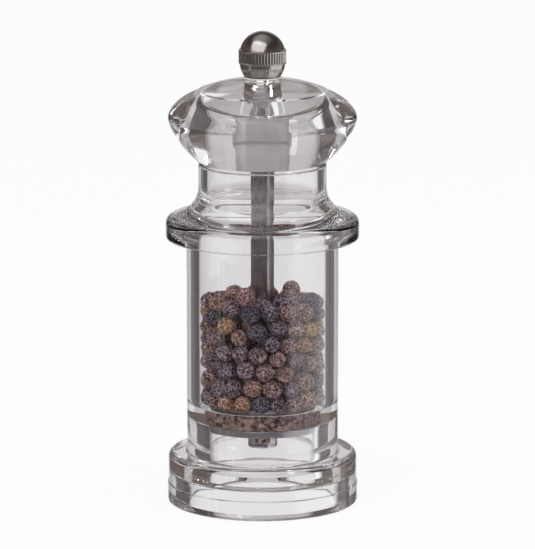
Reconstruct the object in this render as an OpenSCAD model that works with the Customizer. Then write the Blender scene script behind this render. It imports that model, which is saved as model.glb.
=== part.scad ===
// Pepper mill with a turned clear acrylic head, barrel and base.
// The head drives a grinding cone through a square spindle; the ball knob on
// top draws that spindle up or lets it down, which sets how fine it grinds.
// Everything stands on z = 0 round the Z axis. Sizes are in millimetres.

/* [Barrel] */
// Height of the barrel's top edge above the table
barrel_h = 100.7; // [84:0.1:140]
// Outside diameter round the peppercorn chamber
barrel_d = 44.7; // [42:0.1:48]
// Wall between the chamber and the outside
chamber_wall = 3.6; // [3:0.1:4.4]
// Outside diameter of the neck
neck_d = 37.6; // [34:0.1:40]
// Wall of the neck
neck_wall = 2.5; // [1.8:0.1:3]
// Height over which the bore opens from the neck to the chamber
bore_step_h = 3.2; // [2:0.1:5]
// How far below the barrel's top edge that opening starts
bore_step_drop = 12.2; // [10:0.1:16]

/* [Collar] */
// Outside diameter of the collar
collar_d = 56.8; // [50:0.1:68]
// Height of the collar's flat rim
collar_rim_h = 4.4; // [3:0.1:6]
// How far the top of that rim lies below the barrel's top edge
collar_drop = 17.4; // [15:0.1:21]
// Rounding of the collar's top edge
collar_round = 2.2; // [1:0.1:3]
// Rounding of the collar's bottom edge
collar_under_round = 0.8; // [0.3:0.1:1.5]
// Radius of the hollow curve from the collar up to the neck
flare_r = 9; // [7:0.1:11]

/* [Foot and base] */
// Outside diameter of the foot on the barrel
foot_d = 55.6; // [50:0.1:67]
// Height of the foot's top above the table
foot_h = 14.9; // [12:0.1:18]
// Rounding of the foot's top edge
foot_round = 1.8; // [1:0.1:3]
// Outside diameter of the base's flange
flange_d = 56.1; // [50:0.1:67]
// Thickness of the base's flange
flange_h = 5.7; // [4:0.1:8]
// Bevel round the underside of the flange
flange_bevel = 0.5; // [0.2:0.1:1]
// Diameter of the wide hollow in the foot's underside
hollow_d = 43.4; // [40:0.1:46]
// Height of that hollow
hollow_h = 8; // [6.5:0.1:9]
// Bevel round the hollow's mouth
hollow_bevel = 0.8; // [0.3:0.1:1.2]
// Wall of the base round the hollow, inside the barrel's foot
socket_wall = 2.2; // [1.6:0.1:2.6]
// Thickness of the base over the hollow
web_t = 3; // [2:0.1:4]
// Wall of the base's hollow plug
plug_wall = 3.1; // [2.6:0.1:3.6]
// Height of the chamber floor above the table
floor_h = 29.4; // [26:0.1:34]
// Thickness of that floor, which holds the grinding ring
floor_t = 5; // [4:0.1:6]
// Clearance of each cemented joint
bond_gap = 0.03; // [0.02:0.01:0.05]

/* [Head] */
// Largest diameter of the head
head_d = 55.4; // [52:0.1:66]
// Height of the head from the barrel's top edge to the knob's seat
head_h = 25.6; // [22:0.1:31]
// Height of the head's widest point above the barrel's top edge
head_waist_h = 13.9; // [12:0.1:16]
// Diameter of the crease round the head's top
crease_d = 38; // [34:0.1:40]
// Height of that crease above the barrel's top edge
crease_h = 22; // [19:0.1:26]
// Height of the plain rim at the bottom of the head
head_rim_h = 1.1; // [0.6:0.1:2]
// Wall of the head's rim round its cavity
head_rim_wall = 2.2; // [1.9:0.1:2.4]
// Depth of the head's cavity
cavity_h = 14; // [12:0.1:15]
// Rounding of the cavity's ceiling corner
cavity_round = 1.2; // [0.5:0.1:2]
// Height of the barrel's locating lip inside the head
lip_h = 1.4; // [1:0.1:2]
// Wall of that lip
lip_wall = 0.9; // [0.7:0.1:1.2]
// Radial clearance of the lip in the head
lip_gap = 0.08; // [0.05:0.01:0.1]
// Gap between the head and the barrel's top edge
head_gap = 0.1; // [0.05:0.01:0.2]

/* [Knob] */
// Diameter of the ball knob
knob_d = 13.3; // [12:0.1:16]
// Diameter of the knob's short neck
knob_neck_d = 9.8; // [8:0.1:10.5]
// Height of the neck below the ball's flat underside
knob_neck_h = 0.4; // [0.3:0.1:1]
// Height of the knurled band's lower edge above the knob's seat
knurl_base_h = 4.3; // [4:0.1:5.5]
// Height of the knurled band
knurl_h = 4.1; // [3.6:0.1:5]
// How far inside the band the centre of the ball's lower half lies
knob_lower_in = 0.2; // [0:0.1:0.8]
// How far inside the band the centre of the ball's upper half lies
knob_upper_in = 1.3; // [0.6:0.1:1.8]
// How far the knurled band stands proud of the ball
knurl_proud = 0.3; // [0.3:0.05:0.4]
// Number of knurl grooves
knurl_n = 48; // [24:1:60]
// Depth of a knurl groove
knurl_depth = 0.25; // [0.15:0.05:0.25]

/* [Spindle] */
// Width across the flats of the square spindle
spindle_af = 5.4; // [4.5:0.1:6.5]
// Angle of the spindle's flats about the Z axis, in degrees
spindle_turn = -22; // [-45:1:45]
// Radial clearance of a square hole over the spindle, on each flat
square_gap = 0.08; // [0.05:0.01:0.1]
// Diameter of the threaded stud under the knob
stud_d = 5; // [4:0.1:5.2]
// Diameter of the threaded tail in the end nut
tail_d = 4.2; // [3.5:0.1:4.4]
// Pitch of the knob's thread
thread_pitch = 0.8; // [0.5:0.05:1]
// Diameter of the washer under the knob
knob_washer_d = 11; // [10.5:0.1:14]
// Thickness of that washer
knob_washer_t = 0.4; // [0.3:0.1:0.8]
// Turns that the knob tightens from its rest setting
tighten_turns = 1; // [0.5:0.25:1]
// Turns that the knob loosens from its rest setting
loosen_turns = 2; // [1:0.25:2]
// Radial clearance of a thread in its hole
thread_gap = 0.05; // [0.03:0.01:0.1]
// Clear height kept past the end of each moving piece
end_gap = 0.6; // [0.3:0.1:1]

/* [Drive bush] */
// Diameter of the bush's barrel
bush_d = 16.2; // [14:0.1:18]
// Diameter of the bush's flange against the cavity ceiling
bush_flange_d = 17.2; // [15:0.1:19]
// Thickness of that flange
bush_flange_h = 2.1; // [1.5:0.1:3]
// Diameter of the spigot cemented into the head
bush_spigot_d = 9.4; // [9:0.1:11]
// Height of the spigot
bush_spigot_h = 4; // [3:0.1:5]

/* [Grinding set] */
// Outside diameter of the grinding ring
ring_d = 22.6; // [21:0.1:23]
// Throat diameter of the ring, where the ground pepper passes
throat_d = 16; // [14:0.1:17]
// Radial gap between the ring and the cone at the rest setting
grind_gap = 0.4; // [0.35:0.01:0.6]
// Number of teeth on the ring
ring_teeth = 24; // [16:1:32]
// Number of teeth on the cone
cone_teeth = 18; // [12:1:24]
// Depth of a tooth
tooth_depth = 0.5; // [0.3:0.05:0.7]
// Height of the cone's pointed part above the throat
cone_point_h = 4.2; // [3:0.1:5]
// Diameter of the cone's top, which carries the spring
cone_top_d = 12.4; // [11.6:0.1:13]
// Diameter of the lock washer over the end nut
lock_washer_d = 7.6; // [6.5:0.1:8]
// Height of the end nut
nut_h = 6; // [4:0.1:7.5]
// Diameter of the end nut
nut_d = 8.6; // [7:0.1:9]
// Bevel round the bottom of the end nut
nut_bevel = 0.4; // [0.2:0.1:0.6]
// Thickness of the end nut's closed bottom
nut_floor = 1.4; // [0.8:0.1:2]

/* [Retainer] */
// Thickness of the retaining plate under the floor
plate_t = 2.1; // [1.5:0.1:2.5]
// Radial clearance of the retaining plate in the base
plate_gap = 0.15; // [0.1:0.05:0.4]
// Diameter of the hole in the plate
plate_hole_d = 19.4; // [19:0.1:20]
// Least clearance that the hole keeps round the widest part of the cone
cone_gap = 0.3; // [0.2:0.05:0.5]
// Diameter of a bridge screw
screw_d = 2.5; // [2:0.1:2.6]
// Diameter of a bridge screw's head
screw_head_d = 4.1; // [3.6:0.1:4.2]
// Height of a bridge screw's head
screw_head_h = 1.5; // [1:0.1:1.8]
// Radial clearance of a screw in its hole
screw_gap = 0.1; // [0.05:0.01:0.12]

/* [Bridge and spring] */
// Width of the bridge strip
bridge_w = 7; // [6:0.1:9]
// Thickness of the bridge strip
bridge_t = 1.2; // [0.8:0.1:1.6]
// How far the bridge's feet reach over the top of the grinding ring
ring_grip = 1.485; // [1.2:0.005:2]
// How far a foot runs on past its screw
bridge_toe = 1.2; // [0.8:0.1:1.6]
// Width of metal round the spindle's hole in the bridge
bridge_eye_wall = 1.8; // [1.2:0.1:2.5]
// Clear height under the bridge, above the chamber floor
bridge_h = 8.6; // [8:0.1:12]
// Diameter of the spring's wire
wire_d = 0.7; // [0.5:0.05:0.9]
// Mean diameter of the spring
coil_d = 9.8; // [9.4:0.1:10.2]
// Turns of the spring
coil_turns = 4; // [3:1:5]
// Diameter of the thrust washer
washer_d = 12; // [11.5:0.1:13]
// Thickness of the thrust washer
washer_t = 0.8; // [0.5:0.1:1.2]
// Diameter of the seat washer under the spring
spring_seat_d = 11.6; // [11:0.1:12.4]
// Thickness of the spring's seat and of the lock washer
thin_t = 0.5; // [0.3:0.1:0.8]
// Gap between faces that turn or rest on each other
face_gap = 0.1; // [0.05:0.01:0.2]

/* [Peppercorns] */
// Depth of the peppercorns over the chamber floor
fill_h = 34; // [20:0.5:40]
// Gap between the peppercorns and what they lie against
fill_gap = 0.3; // [0.3:0.05:0.5]

/* [Hidden] */
// Facets of a turned shape
turn_fn = 96;
// Facets of a small round
round_fn = 24;
// Steps of a curved outline
curve_steps = 14;
// Overcut of a hole past the face it opens in
over = 0.5;

// Barrel
barrel_r = barrel_d / 2;
chamber_r = barrel_r - chamber_wall;
neck_r = neck_d / 2;
neck_bore_r = neck_r - neck_wall;
bore_top_z = barrel_h - bore_step_drop;
collar_r = collar_d / 2;
collar_top_z = barrel_h - collar_drop;
collar_bottom_z = collar_top_z - collar_rim_h;
collar_core_r = collar_r - collar_round;
flare_x = neck_r + flare_r;
flare_reach = flare_r + collar_round;
flare_z = collar_top_z + sqrt(pow(flare_reach, 2) - pow(flare_x - collar_core_r, 2));
meet_x = collar_core_r + collar_round * (flare_x - collar_core_r) / flare_reach;

// Base
plug_r = chamber_r - bond_gap;
recess_r = chamber_r - plug_wall;
hollow_r = hollow_d / 2;
socket_r = hollow_r + socket_wall;
socket_top_z = hollow_h + web_t;
floor_under_z = floor_h - floor_t;
ring_r = ring_d / 2;
ring_seat_r = ring_r + bond_gap;

// Head: the outline is two eased quarter curves that meet at the widest point
head_z = barrel_h + head_gap;
head_r = head_d / 2;
waist_z = barrel_h + head_waist_h;
crease_r = crease_d / 2;
crease_z = barrel_h + crease_h;
seat_z = barrel_h + head_h;
ceiling_z = head_z + cavity_h;
cavity_r = neck_r - head_rim_wall;
lip_r = neck_bore_r + lip_wall;
curve_core_r = head_r / 2;
upper_ease = 1.15;
lower_ease = 1.4;
function eased_rise(r, ease) =
    pow(sqrt(1 - pow(pow((r - curve_core_r) / (head_r - curve_core_r), 1 / ease), 2)), ease);
function eased_curve(rise, r_end, ease) =
    let (end_a = acos(pow((r_end - curve_core_r) / (head_r - curve_core_r), 1 / ease)))
    [for (i = [0:curve_steps])
        let (a = end_a * i / curve_steps)
        [curve_core_r + (head_r - curve_core_r) * pow(cos(a), ease),
         waist_z + rise / eased_rise(r_end, ease) * pow(sin(a), ease)]];
dome_drop = seat_z - crease_z;
dome_r = (pow(crease_r, 2) + pow(dome_drop, 2)) / (2 * dome_drop);

// Spindle and knob
travel_up = tighten_turns * thread_pitch;
travel_down = loosen_turns * thread_pitch;
spindle_corner_r = spindle_af / 2 * sqrt(2);
square_hole = spindle_af + 2 * square_gap;
knob_z = seat_z + knob_washer_t;
knurl_low_z = seat_z + knurl_base_h;
knurl_high_z = knurl_low_z + knurl_h;
knob_lower_z = knurl_low_z + knob_lower_in;
knob_upper_z = knurl_high_z - knob_upper_in;
knob_centre_z = (knob_lower_z + knob_upper_z) / 2;
bush_top_z = ceiling_z + bush_spigot_h;
square_top_z = bush_top_z;
head_hole_top_z = square_top_z + travel_up + end_gap;
stud_top_z = knob_centre_z - travel_up;
knob_hole_top_z = stud_top_z + travel_up + end_gap;

// Grinding set: the throat lies halfway up the floor, and below it the ring
// and the cone widen side by side, so a raised cone closes the gap
throat_r = throat_d / 2;
throat_z = floor_under_z + floor_t / 2;
flank_slope = 0.4;
flank_r = throat_r + flank_slope * (throat_z - floor_under_z);
cone_drop = travel_up + end_gap;
cone_bottom_z = floor_under_z - cone_drop;
cone_top_z = throat_z + cone_point_h;
cone_low_r = throat_r - grind_gap + flank_slope * (throat_z - cone_bottom_z);
nut_top_z = cone_bottom_z - thin_t;
nut_bottom_z = nut_top_z - nut_h;
tail_bottom_z = nut_bottom_z + nut_floor;

// Retainer, bridge and spring
plate_bottom_z = floor_under_z - plate_t;
plate_hole_r = max(plate_hole_d / 2, cone_low_r + cone_gap);
screw_y = (recess_r - plate_gap - screw_head_d / 2 + ring_seat_r + screw_d / 2 + screw_gap) / 2;
bridge_under_z = floor_h + bridge_h;
bridge_out_y = screw_y + screw_d / 2 + bridge_toe;
leg_in_y = ring_r - ring_grip;
bridge_hole_r = spindle_corner_r + end_gap;
bridge_eye_r = bridge_hole_r + bridge_eye_wall;
washer_z = bridge_under_z - face_gap - washer_t;
spring_low_z = cone_top_z + thin_t + face_gap;
spring_high_z = washer_z - face_gap;

// Turns a flat outline, drawn as radius and height, round the Z axis
module turned() {
    rotate_extrude($fn = turn_fn) children();
}

// Flat ring section from r1 to r2 and from z1 to z2
module band(r1, r2, z1, z2) {
    translate([r1, z1]) square([r2 - r1, z2 - z1]);
}

// The square of the spindle, or a hole for it, from z1 to z2
module square_bar(width, z1, z2) {
    rotate([0, 0, spindle_turn])
        translate([-width / 2, -width / 2, z1]) cube([width, width, z2 - z1]);
}

// Plain round bar or hole on the axis
module bar(r, z1, z2) {
    translate([0, 0, z1]) cylinder(r = r, h = z2 - z1, $fn = turn_fn);
}

// Straight tooth grooves cut into a flank that leans from (r1, z1) to (r2, z2)
module grooves(count, r1, z1, r2, z2) {
    lean = atan2(r2 - r1, z2 - z1);
    length = norm([r2 - r1, z2 - z1]);
    side = tooth_depth * sqrt(2);
    for (i = [0:count - 1])
        rotate([0, 0, 360 * i / count]) translate([r1, 0, z1]) rotate([0, lean, 0])
            rotate([0, 0, 45]) translate([-side / 2, -side / 2, -over])
                cube([side, side, length + 2 * over]);
}

module barrel() {
    color("lightcyan") turned() difference() {
        union() {
            // foot with its rounded top edge
            band(0, foot_d / 2, flange_h, foot_h - foot_round);
            band(0, foot_d / 2 - foot_round, flange_h, foot_h);
            translate([foot_d / 2 - foot_round, foot_h - foot_round])
                circle(r = foot_round, $fn = round_fn);
            // barrel, collar and neck
            band(0, barrel_r, flange_h, collar_top_z);
            band(0, collar_r, collar_bottom_z + collar_under_round, collar_top_z);
            band(0, collar_r - collar_under_round, collar_bottom_z, collar_top_z);
            translate([collar_r - collar_under_round, collar_bottom_z + collar_under_round])
                circle(r = collar_under_round, $fn = round_fn);
            translate([collar_core_r, collar_top_z]) circle(r = collar_round, $fn = round_fn);
            difference() {
                band(0, meet_x, collar_top_z, flare_z);
                translate([flare_x, flare_z]) circle(r = flare_r, $fn = turn_fn);
            }
            band(0, neck_r, flare_z, barrel_h);
            // lip that centres the head
            band(0, lip_r, barrel_h - over, barrel_h + lip_h);
        }
        // neck bore, opening out to the chamber and to the socket of the base
        polygon([
            [-over, flange_h - over],
            [socket_r + bond_gap, flange_h - over],
            [socket_r + bond_gap, socket_top_z + bond_gap],
            [chamber_r, socket_top_z + bond_gap],
            [chamber_r, bore_top_z - bore_step_h],
            [neck_bore_r, bore_top_z],
            [neck_bore_r, barrel_h + lip_h + over],
            [-over, barrel_h + lip_h + over]
        ]);
        // the outline is kept on one side of the axis
        band(-barrel_r, 0, 0, barrel_h + 2 * lip_h);
    }
}

module base() {
    color("lightblue") difference() {
        turned() difference() {
            union() {
                polygon([
                    [0, 0],
                    [flange_d / 2 - flange_bevel, 0],
                    [flange_d / 2, flange_bevel],
                    [flange_d / 2, flange_h],
                    [0, flange_h]
                ]);
                band(0, socket_r, flange_h, socket_top_z);
                band(0, plug_r, socket_top_z, floor_h);
            }
            // wide hollow with its bevelled mouth, and the recess over it
            band(0, hollow_r, -over, hollow_h);
            polygon([
                [0, -over],
                [hollow_r + hollow_bevel + over, -over],
                [hollow_r, hollow_bevel],
                [0, hollow_bevel]
            ]);
            band(0, recess_r, -over, floor_under_z);
            band(0, ring_seat_r, floor_under_z - over, floor_h + over);
        }
        screw_places() translate([0, 0, floor_under_z - over])
            cylinder(r = screw_d / 2 + screw_gap, h = floor_t + 2 * over, $fn = round_fn);
    }
}

module head() {
    lower = eased_curve(head_rim_h - head_waist_h, neck_r, lower_ease);
    upper = eased_curve(crease_h - head_waist_h, crease_r, upper_ease);
    color("azure") difference() {
        turned() difference() {
            union() {
                polygon(concat(
                    [[0, head_z], [neck_r, head_z]],
                    [for (i = [curve_steps:-1:1]) lower[i]],
                    upper,
                    [[0, crease_z]]
                ));
                // shallow dome from the crease up to the knob's seat
                intersection() {
                    translate([0, seat_z - dome_r]) circle(r = dome_r, $fn = 4 * turn_fn);
                    band(0, crease_r, crease_z - over, seat_z);
                }
            }
            // cavity with a rounded ceiling corner
            band(0, cavity_r, head_z - over, ceiling_z - cavity_round);
            band(0, cavity_r - cavity_round, head_z - over, ceiling_z);
            translate([cavity_r - cavity_round, ceiling_z - cavity_round])
                circle(r = cavity_round, $fn = round_fn);
            band(0, lip_r + lip_gap, head_z - over, barrel_h + lip_h + head_gap);
            // bore for the bush's spigot, and a closer one for the stud
            band(0, bush_spigot_d / 2 + bond_gap, ceiling_z - over, head_hole_top_z);
            band(0, stud_d / 2 + end_gap, head_hole_top_z - over, seat_z + over);
        }
    }
}

module drive_bush() {
    color("lightsteelblue") difference() {
        turned() union() {
            band(0, bush_d / 2, head_z + head_rim_h, ceiling_z - bush_flange_h);
            band(0, bush_flange_d / 2, ceiling_z - bush_flange_h, ceiling_z);
            band(0, bush_spigot_d / 2, ceiling_z - over, bush_top_z);
        }
        square_bar(square_hole, head_z, bush_top_z + over);
    }
}

module knob() {
    color("silver") difference() {
        union() {
            difference() {
                // a ball in two halves, set a little apart behind the band
                union() {
                    for (z = [knob_lower_z, knob_upper_z])
                        translate([0, 0, z]) sphere(r = knob_d / 2, $fn = turn_fn);
                    bar(knob_d / 2 + knurl_proud, knurl_low_z, knurl_high_z);
                }
                // flat underside: nothing of the ball reaches below the neck's top
                bar(knob_d, knob_z - knob_d, knob_z + knob_neck_h);
            }
            bar(knob_neck_d / 2, knob_z, knob_lower_z);
        }
        for (i = [0:knurl_n - 1])
            rotate([0, 0, 360 * i / knurl_n])
                translate([knob_d / 2 + knurl_proud, 0, knurl_low_z - over])
                    rotate([0, 0, 45])
                        translate([-knurl_depth * sqrt(2) / 2, -knurl_depth * sqrt(2) / 2, 0])
                            cube([knurl_depth * sqrt(2), knurl_depth * sqrt(2), knurl_h + 2 * over]);
        bar(stud_d / 2 + thread_gap, knob_z - over, knob_hole_top_z);
    }
}

module knob_washer() {
    color("white") difference() {
        bar(knob_washer_d / 2, seat_z, knob_z);
        bar(stud_d / 2 + end_gap, seat_z - over, knob_z + over);
    }
}

module spindle() {
    color("gainsboro") union() {
        square_bar(spindle_af, cone_bottom_z + end_gap, square_top_z);
        bar(stud_d / 2, square_top_z - over, stud_top_z);
        bar(tail_d / 2, tail_bottom_z, cone_bottom_z + end_gap + over);
    }
}

module grinding_cone() {
    waist_r = throat_r - grind_gap;
    color("dimgray") difference() {
        turned() polygon([
            [0, cone_bottom_z],
            [cone_low_r, cone_bottom_z],
            [waist_r, throat_z],
            [cone_top_d / 2, cone_top_z],
            [0, cone_top_z]
        ]);
        grooves(cone_teeth, cone_low_r, cone_bottom_z, waist_r, throat_z);
        square_bar(square_hole, cone_bottom_z - over, cone_top_z + over);
    }
}

module lock_washer() {
    color("gold") difference() {
        bar(lock_washer_d / 2, nut_top_z, cone_bottom_z);
        bar(tail_d / 2 + thread_gap, nut_top_z - over, cone_bottom_z + over);
    }
}

module end_nut() {
    color("darkgray") difference() {
        union() {
            bar(nut_d / 2, nut_bottom_z + nut_bevel, nut_top_z);
            translate([0, 0, nut_bottom_z])
                cylinder(r1 = nut_d / 2 - nut_bevel, r2 = nut_d / 2, h = nut_bevel, $fn = turn_fn);
        }
        bar(tail_d / 2 + thread_gap, tail_bottom_z - thread_gap, nut_top_z + over);
    }
}

module grinding_ring() {
    color("saddlebrown") difference() {
        turned() polygon([
            [flank_r, floor_under_z],
            [ring_r, floor_under_z],
            [ring_r, floor_h],
            [ring_r - 1.2, floor_h],
            [throat_r, throat_z]
        ]);
        grooves(ring_teeth, flank_r, floor_under_z, throat_r, throat_z);
    }
}

module retaining_plate() {
    color("lavender") difference() {
        turned() band(plate_hole_r, recess_r - plate_gap, plate_bottom_z, floor_under_z);
        screw_places() translate([0, 0, plate_bottom_z - over])
            cylinder(r = screw_d / 2 + screw_gap, h = plate_t + 2 * over, $fn = round_fn);
    }
}

// The two places of the bridge screws
module screw_places() {
    for (side = [-1, 1]) translate([0, side * screw_y, 0]) children();
}

module bridge() {
    color("gray") difference() {
        union() {
            translate([-bridge_w / 2, -leg_in_y - bridge_t, bridge_under_z])
                cube([bridge_w, 2 * (leg_in_y + bridge_t), bridge_t]);
            bar(bridge_eye_r, bridge_under_z, bridge_under_z + bridge_t);
            for (side = [0, 1]) mirror([0, side, 0]) {
                translate([-bridge_w / 2, leg_in_y, floor_h])
                    cube([bridge_w, bridge_t, bridge_h + bridge_t]);
                translate([-bridge_w / 2, leg_in_y, floor_h])
                    cube([bridge_w, bridge_out_y - leg_in_y, bridge_t]);
            }
        }
        bar(bridge_hole_r, bridge_under_z - over, bridge_under_z + bridge_t + over);
        screw_places() translate([0, 0, floor_h - over])
            cylinder(r = screw_d / 2 + thread_gap, h = bridge_t + 2 * over, $fn = round_fn);
    }
}

module bridge_screws() {
    color("slategray") screw_places() difference() {
        union() {
            translate([0, 0, plate_bottom_z])
                cylinder(r = screw_d / 2, h = floor_h + bridge_t + end_gap - plate_bottom_z, $fn = round_fn);
            translate([0, 0, plate_bottom_z - screw_head_h])
                cylinder(r = screw_head_d / 2, h = screw_head_h, $fn = round_fn);
        }
        translate([-screw_head_d, -screw_d / 8, plate_bottom_z - screw_head_h - over])
            cube([2 * screw_head_d, screw_d / 4, over + screw_head_h / 2]);
    }
}

// The coil is drawn as flat turns, a pitch apart
module spring() {
    pitch = (spring_high_z - spring_low_z - wire_d) / coil_turns;
    color("lightgray") for (i = [0:coil_turns])
        translate([0, 0, spring_low_z + wire_d / 2 + pitch * i])
            rotate_extrude($fn = turn_fn / 2)
                translate([coil_d / 2, 0]) circle(r = wire_d / 2, $fn = round_fn);
}

module spring_seat() {
    color("silver") difference() {
        bar(spring_seat_d / 2, cone_top_z, cone_top_z + thin_t);
        square_bar(square_hole, cone_top_z - over, cone_top_z + thin_t + over);
    }
}

module thrust_washer() {
    color("white") difference() {
        bar(washer_d / 2, washer_z, washer_z + washer_t);
        square_bar(square_hole, washer_z - over, washer_z + washer_t + over);
    }
}

module peppercorns() {
    low_z = floor_h + fill_gap;
    gap = 2 * fill_gap;
    mech_r = max(washer_d / 2, bridge_eye_r) + gap;
    color("sienna") difference() {
        turned() difference() {
            band(spindle_corner_r + gap, chamber_r - fill_gap, low_z, floor_h + fill_h);
            band(0, ring_r, low_z - over, floor_h + bridge_t + gap);
            band(0, mech_r, low_z - over, bridge_under_z + bridge_t + gap);
        }
        // room for the bridge and its screws
        translate([-bridge_w / 2 - gap, -bridge_out_y - gap, low_z - over])
            cube([bridge_w + 2 * gap, 2 * (bridge_out_y + gap), bridge_h + bridge_t + over + gap]);
    }
}

barrel();
base();
head();
drive_bush();
knob();
knob_washer();
spindle();
grinding_cone();
lock_washer();
end_nut();
grinding_ring();
retaining_plate();
bridge();
bridge_screws();
spring_seat();
spring();
thrust_washer();
peppercorns();
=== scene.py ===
"""Clear acrylic pepper mill.

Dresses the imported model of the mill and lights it: the turned acrylic shells,
the steel ball knob, the square spindle, the grinding set over the hollow base
and the peppercorns in the chamber. The mill stands on z = 0 round the Z axis.

Sizes in the dataclasses are in millimetres and are turned into metres when a
mesh is made, so they read like the drawing that the parts are made from.
"""
import logging
import math
from dataclasses import dataclass, field
from enum import Enum
from typing import Callable, Sequence

import bmesh
import bpy
import numpy as np
from mathutils import Matrix, Vector, noise


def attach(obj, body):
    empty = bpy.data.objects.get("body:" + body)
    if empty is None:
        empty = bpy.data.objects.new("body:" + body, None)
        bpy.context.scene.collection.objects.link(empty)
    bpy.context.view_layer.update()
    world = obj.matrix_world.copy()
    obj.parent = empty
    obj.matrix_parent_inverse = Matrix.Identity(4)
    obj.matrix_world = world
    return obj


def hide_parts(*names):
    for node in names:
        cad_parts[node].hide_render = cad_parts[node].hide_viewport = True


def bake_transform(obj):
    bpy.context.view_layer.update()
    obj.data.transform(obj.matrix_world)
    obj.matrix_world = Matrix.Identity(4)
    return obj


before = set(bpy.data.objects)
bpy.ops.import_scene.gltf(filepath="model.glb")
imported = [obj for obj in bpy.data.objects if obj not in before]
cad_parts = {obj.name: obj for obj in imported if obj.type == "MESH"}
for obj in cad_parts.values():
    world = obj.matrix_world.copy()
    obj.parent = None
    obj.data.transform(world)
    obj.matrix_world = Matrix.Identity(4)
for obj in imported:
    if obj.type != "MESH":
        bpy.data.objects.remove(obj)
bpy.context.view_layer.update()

log = logging.getLogger("pepper_mill")

MM = 0.001
FULL_TURN = 2.0 * math.pi
ON_AXIS = 1e-6
NOISE_MIDDLE = (0.35, 0.65)

Point = tuple[float, float]
Rgb = tuple[float, float, float]
Stops = tuple[tuple[float, Rgb], ...]
Socket = bpy.types.NodeSocket

WHITE = (1.0, 1.0, 1.0, 1.0)


class Body(Enum):
    """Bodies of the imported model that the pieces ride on."""

    MILL = "mill"
    TURNER = "turner"
    SPINDLE = "spindle_set"
    HEAD = "head_set"
    KNOB = "knob_set"


class Slot(Enum):
    """Material slots of the record."""

    ACRYLIC = "clear_acrylic"
    BUSH = "bush_plastic"
    KNOB = "knob_steel"
    SPINDLE = "spindle_aluminium"
    PLATE = "plate_steel"
    FASTENER = "fastener_steel"
    SPRING = "spring_steel"
    PEPPER = "pepper"


# --------------------------------------------------------------------------
# Outlines
# --------------------------------------------------------------------------

def arc(centre: Point, radius: float, start: float, end: float, steps: int = 8) -> list[Point]:
    """Points of a circular arc in the radius-height plane.

    Args:
        centre: Centre of the arc, as radius and height.
        radius: Radius of the arc.
        start: Angle of the first point in degrees, 0 pointing outwards.
        end: Angle of the last point in degrees.
        steps: Number of straight pieces.

    Returns:
        The points from start to end, both included.
    """
    angles = np.radians(np.linspace(start, end, steps + 1))
    return [(centre[0] + radius * math.cos(a), centre[1] + radius * math.sin(a)) for a in angles]


def eased_curve(core: float, reach: float, base: float, rise: float, end: float,
                ease: float, steps: int = 26) -> list[Point]:
    """Half of a turned bulb, from its widest point to where it is cut off.

    Args:
        core: Radius that the curve bends round.
        reach: Largest radius of the bulb.
        base: Height of the widest point.
        rise: Height from the widest point to the cut, negative downwards.
        end: Radius at the cut.
        ease: Power that flattens the curve away from the widest point.
        steps: Number of straight pieces.

    Returns:
        Points from the widest point to the cut.
    """
    span = reach - core
    last = math.acos(((end - core) / span) ** (1.0 / ease))
    full = rise / math.sin(last) ** ease
    angles = np.linspace(0.0, last, steps + 1)
    return [(core + span * math.cos(a) ** ease, base + full * math.sin(a) ** ease) for a in angles]


def subdivided(points: Sequence[Point], longest: float) -> list[Point]:
    """Breaks the straight pieces of a closed outline into shorter ones.

    Args:
        points: Corners of the outline in order.
        longest: Longest piece to leave, in millimetres.

    Returns:
        The outline with its long pieces divided.
    """
    result: list[Point] = []
    for here, there in zip(points, list(points[1:]) + [points[0]]):
        length = math.dist(here, there)
        count = max(1, math.ceil(length / longest))
        for i in range(count):
            share = i / count
            result.append((here[0] + (there[0] - here[0]) * share,
                           here[1] + (there[1] - here[1]) * share))
    return result


# --------------------------------------------------------------------------
# Meshes
# --------------------------------------------------------------------------

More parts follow.
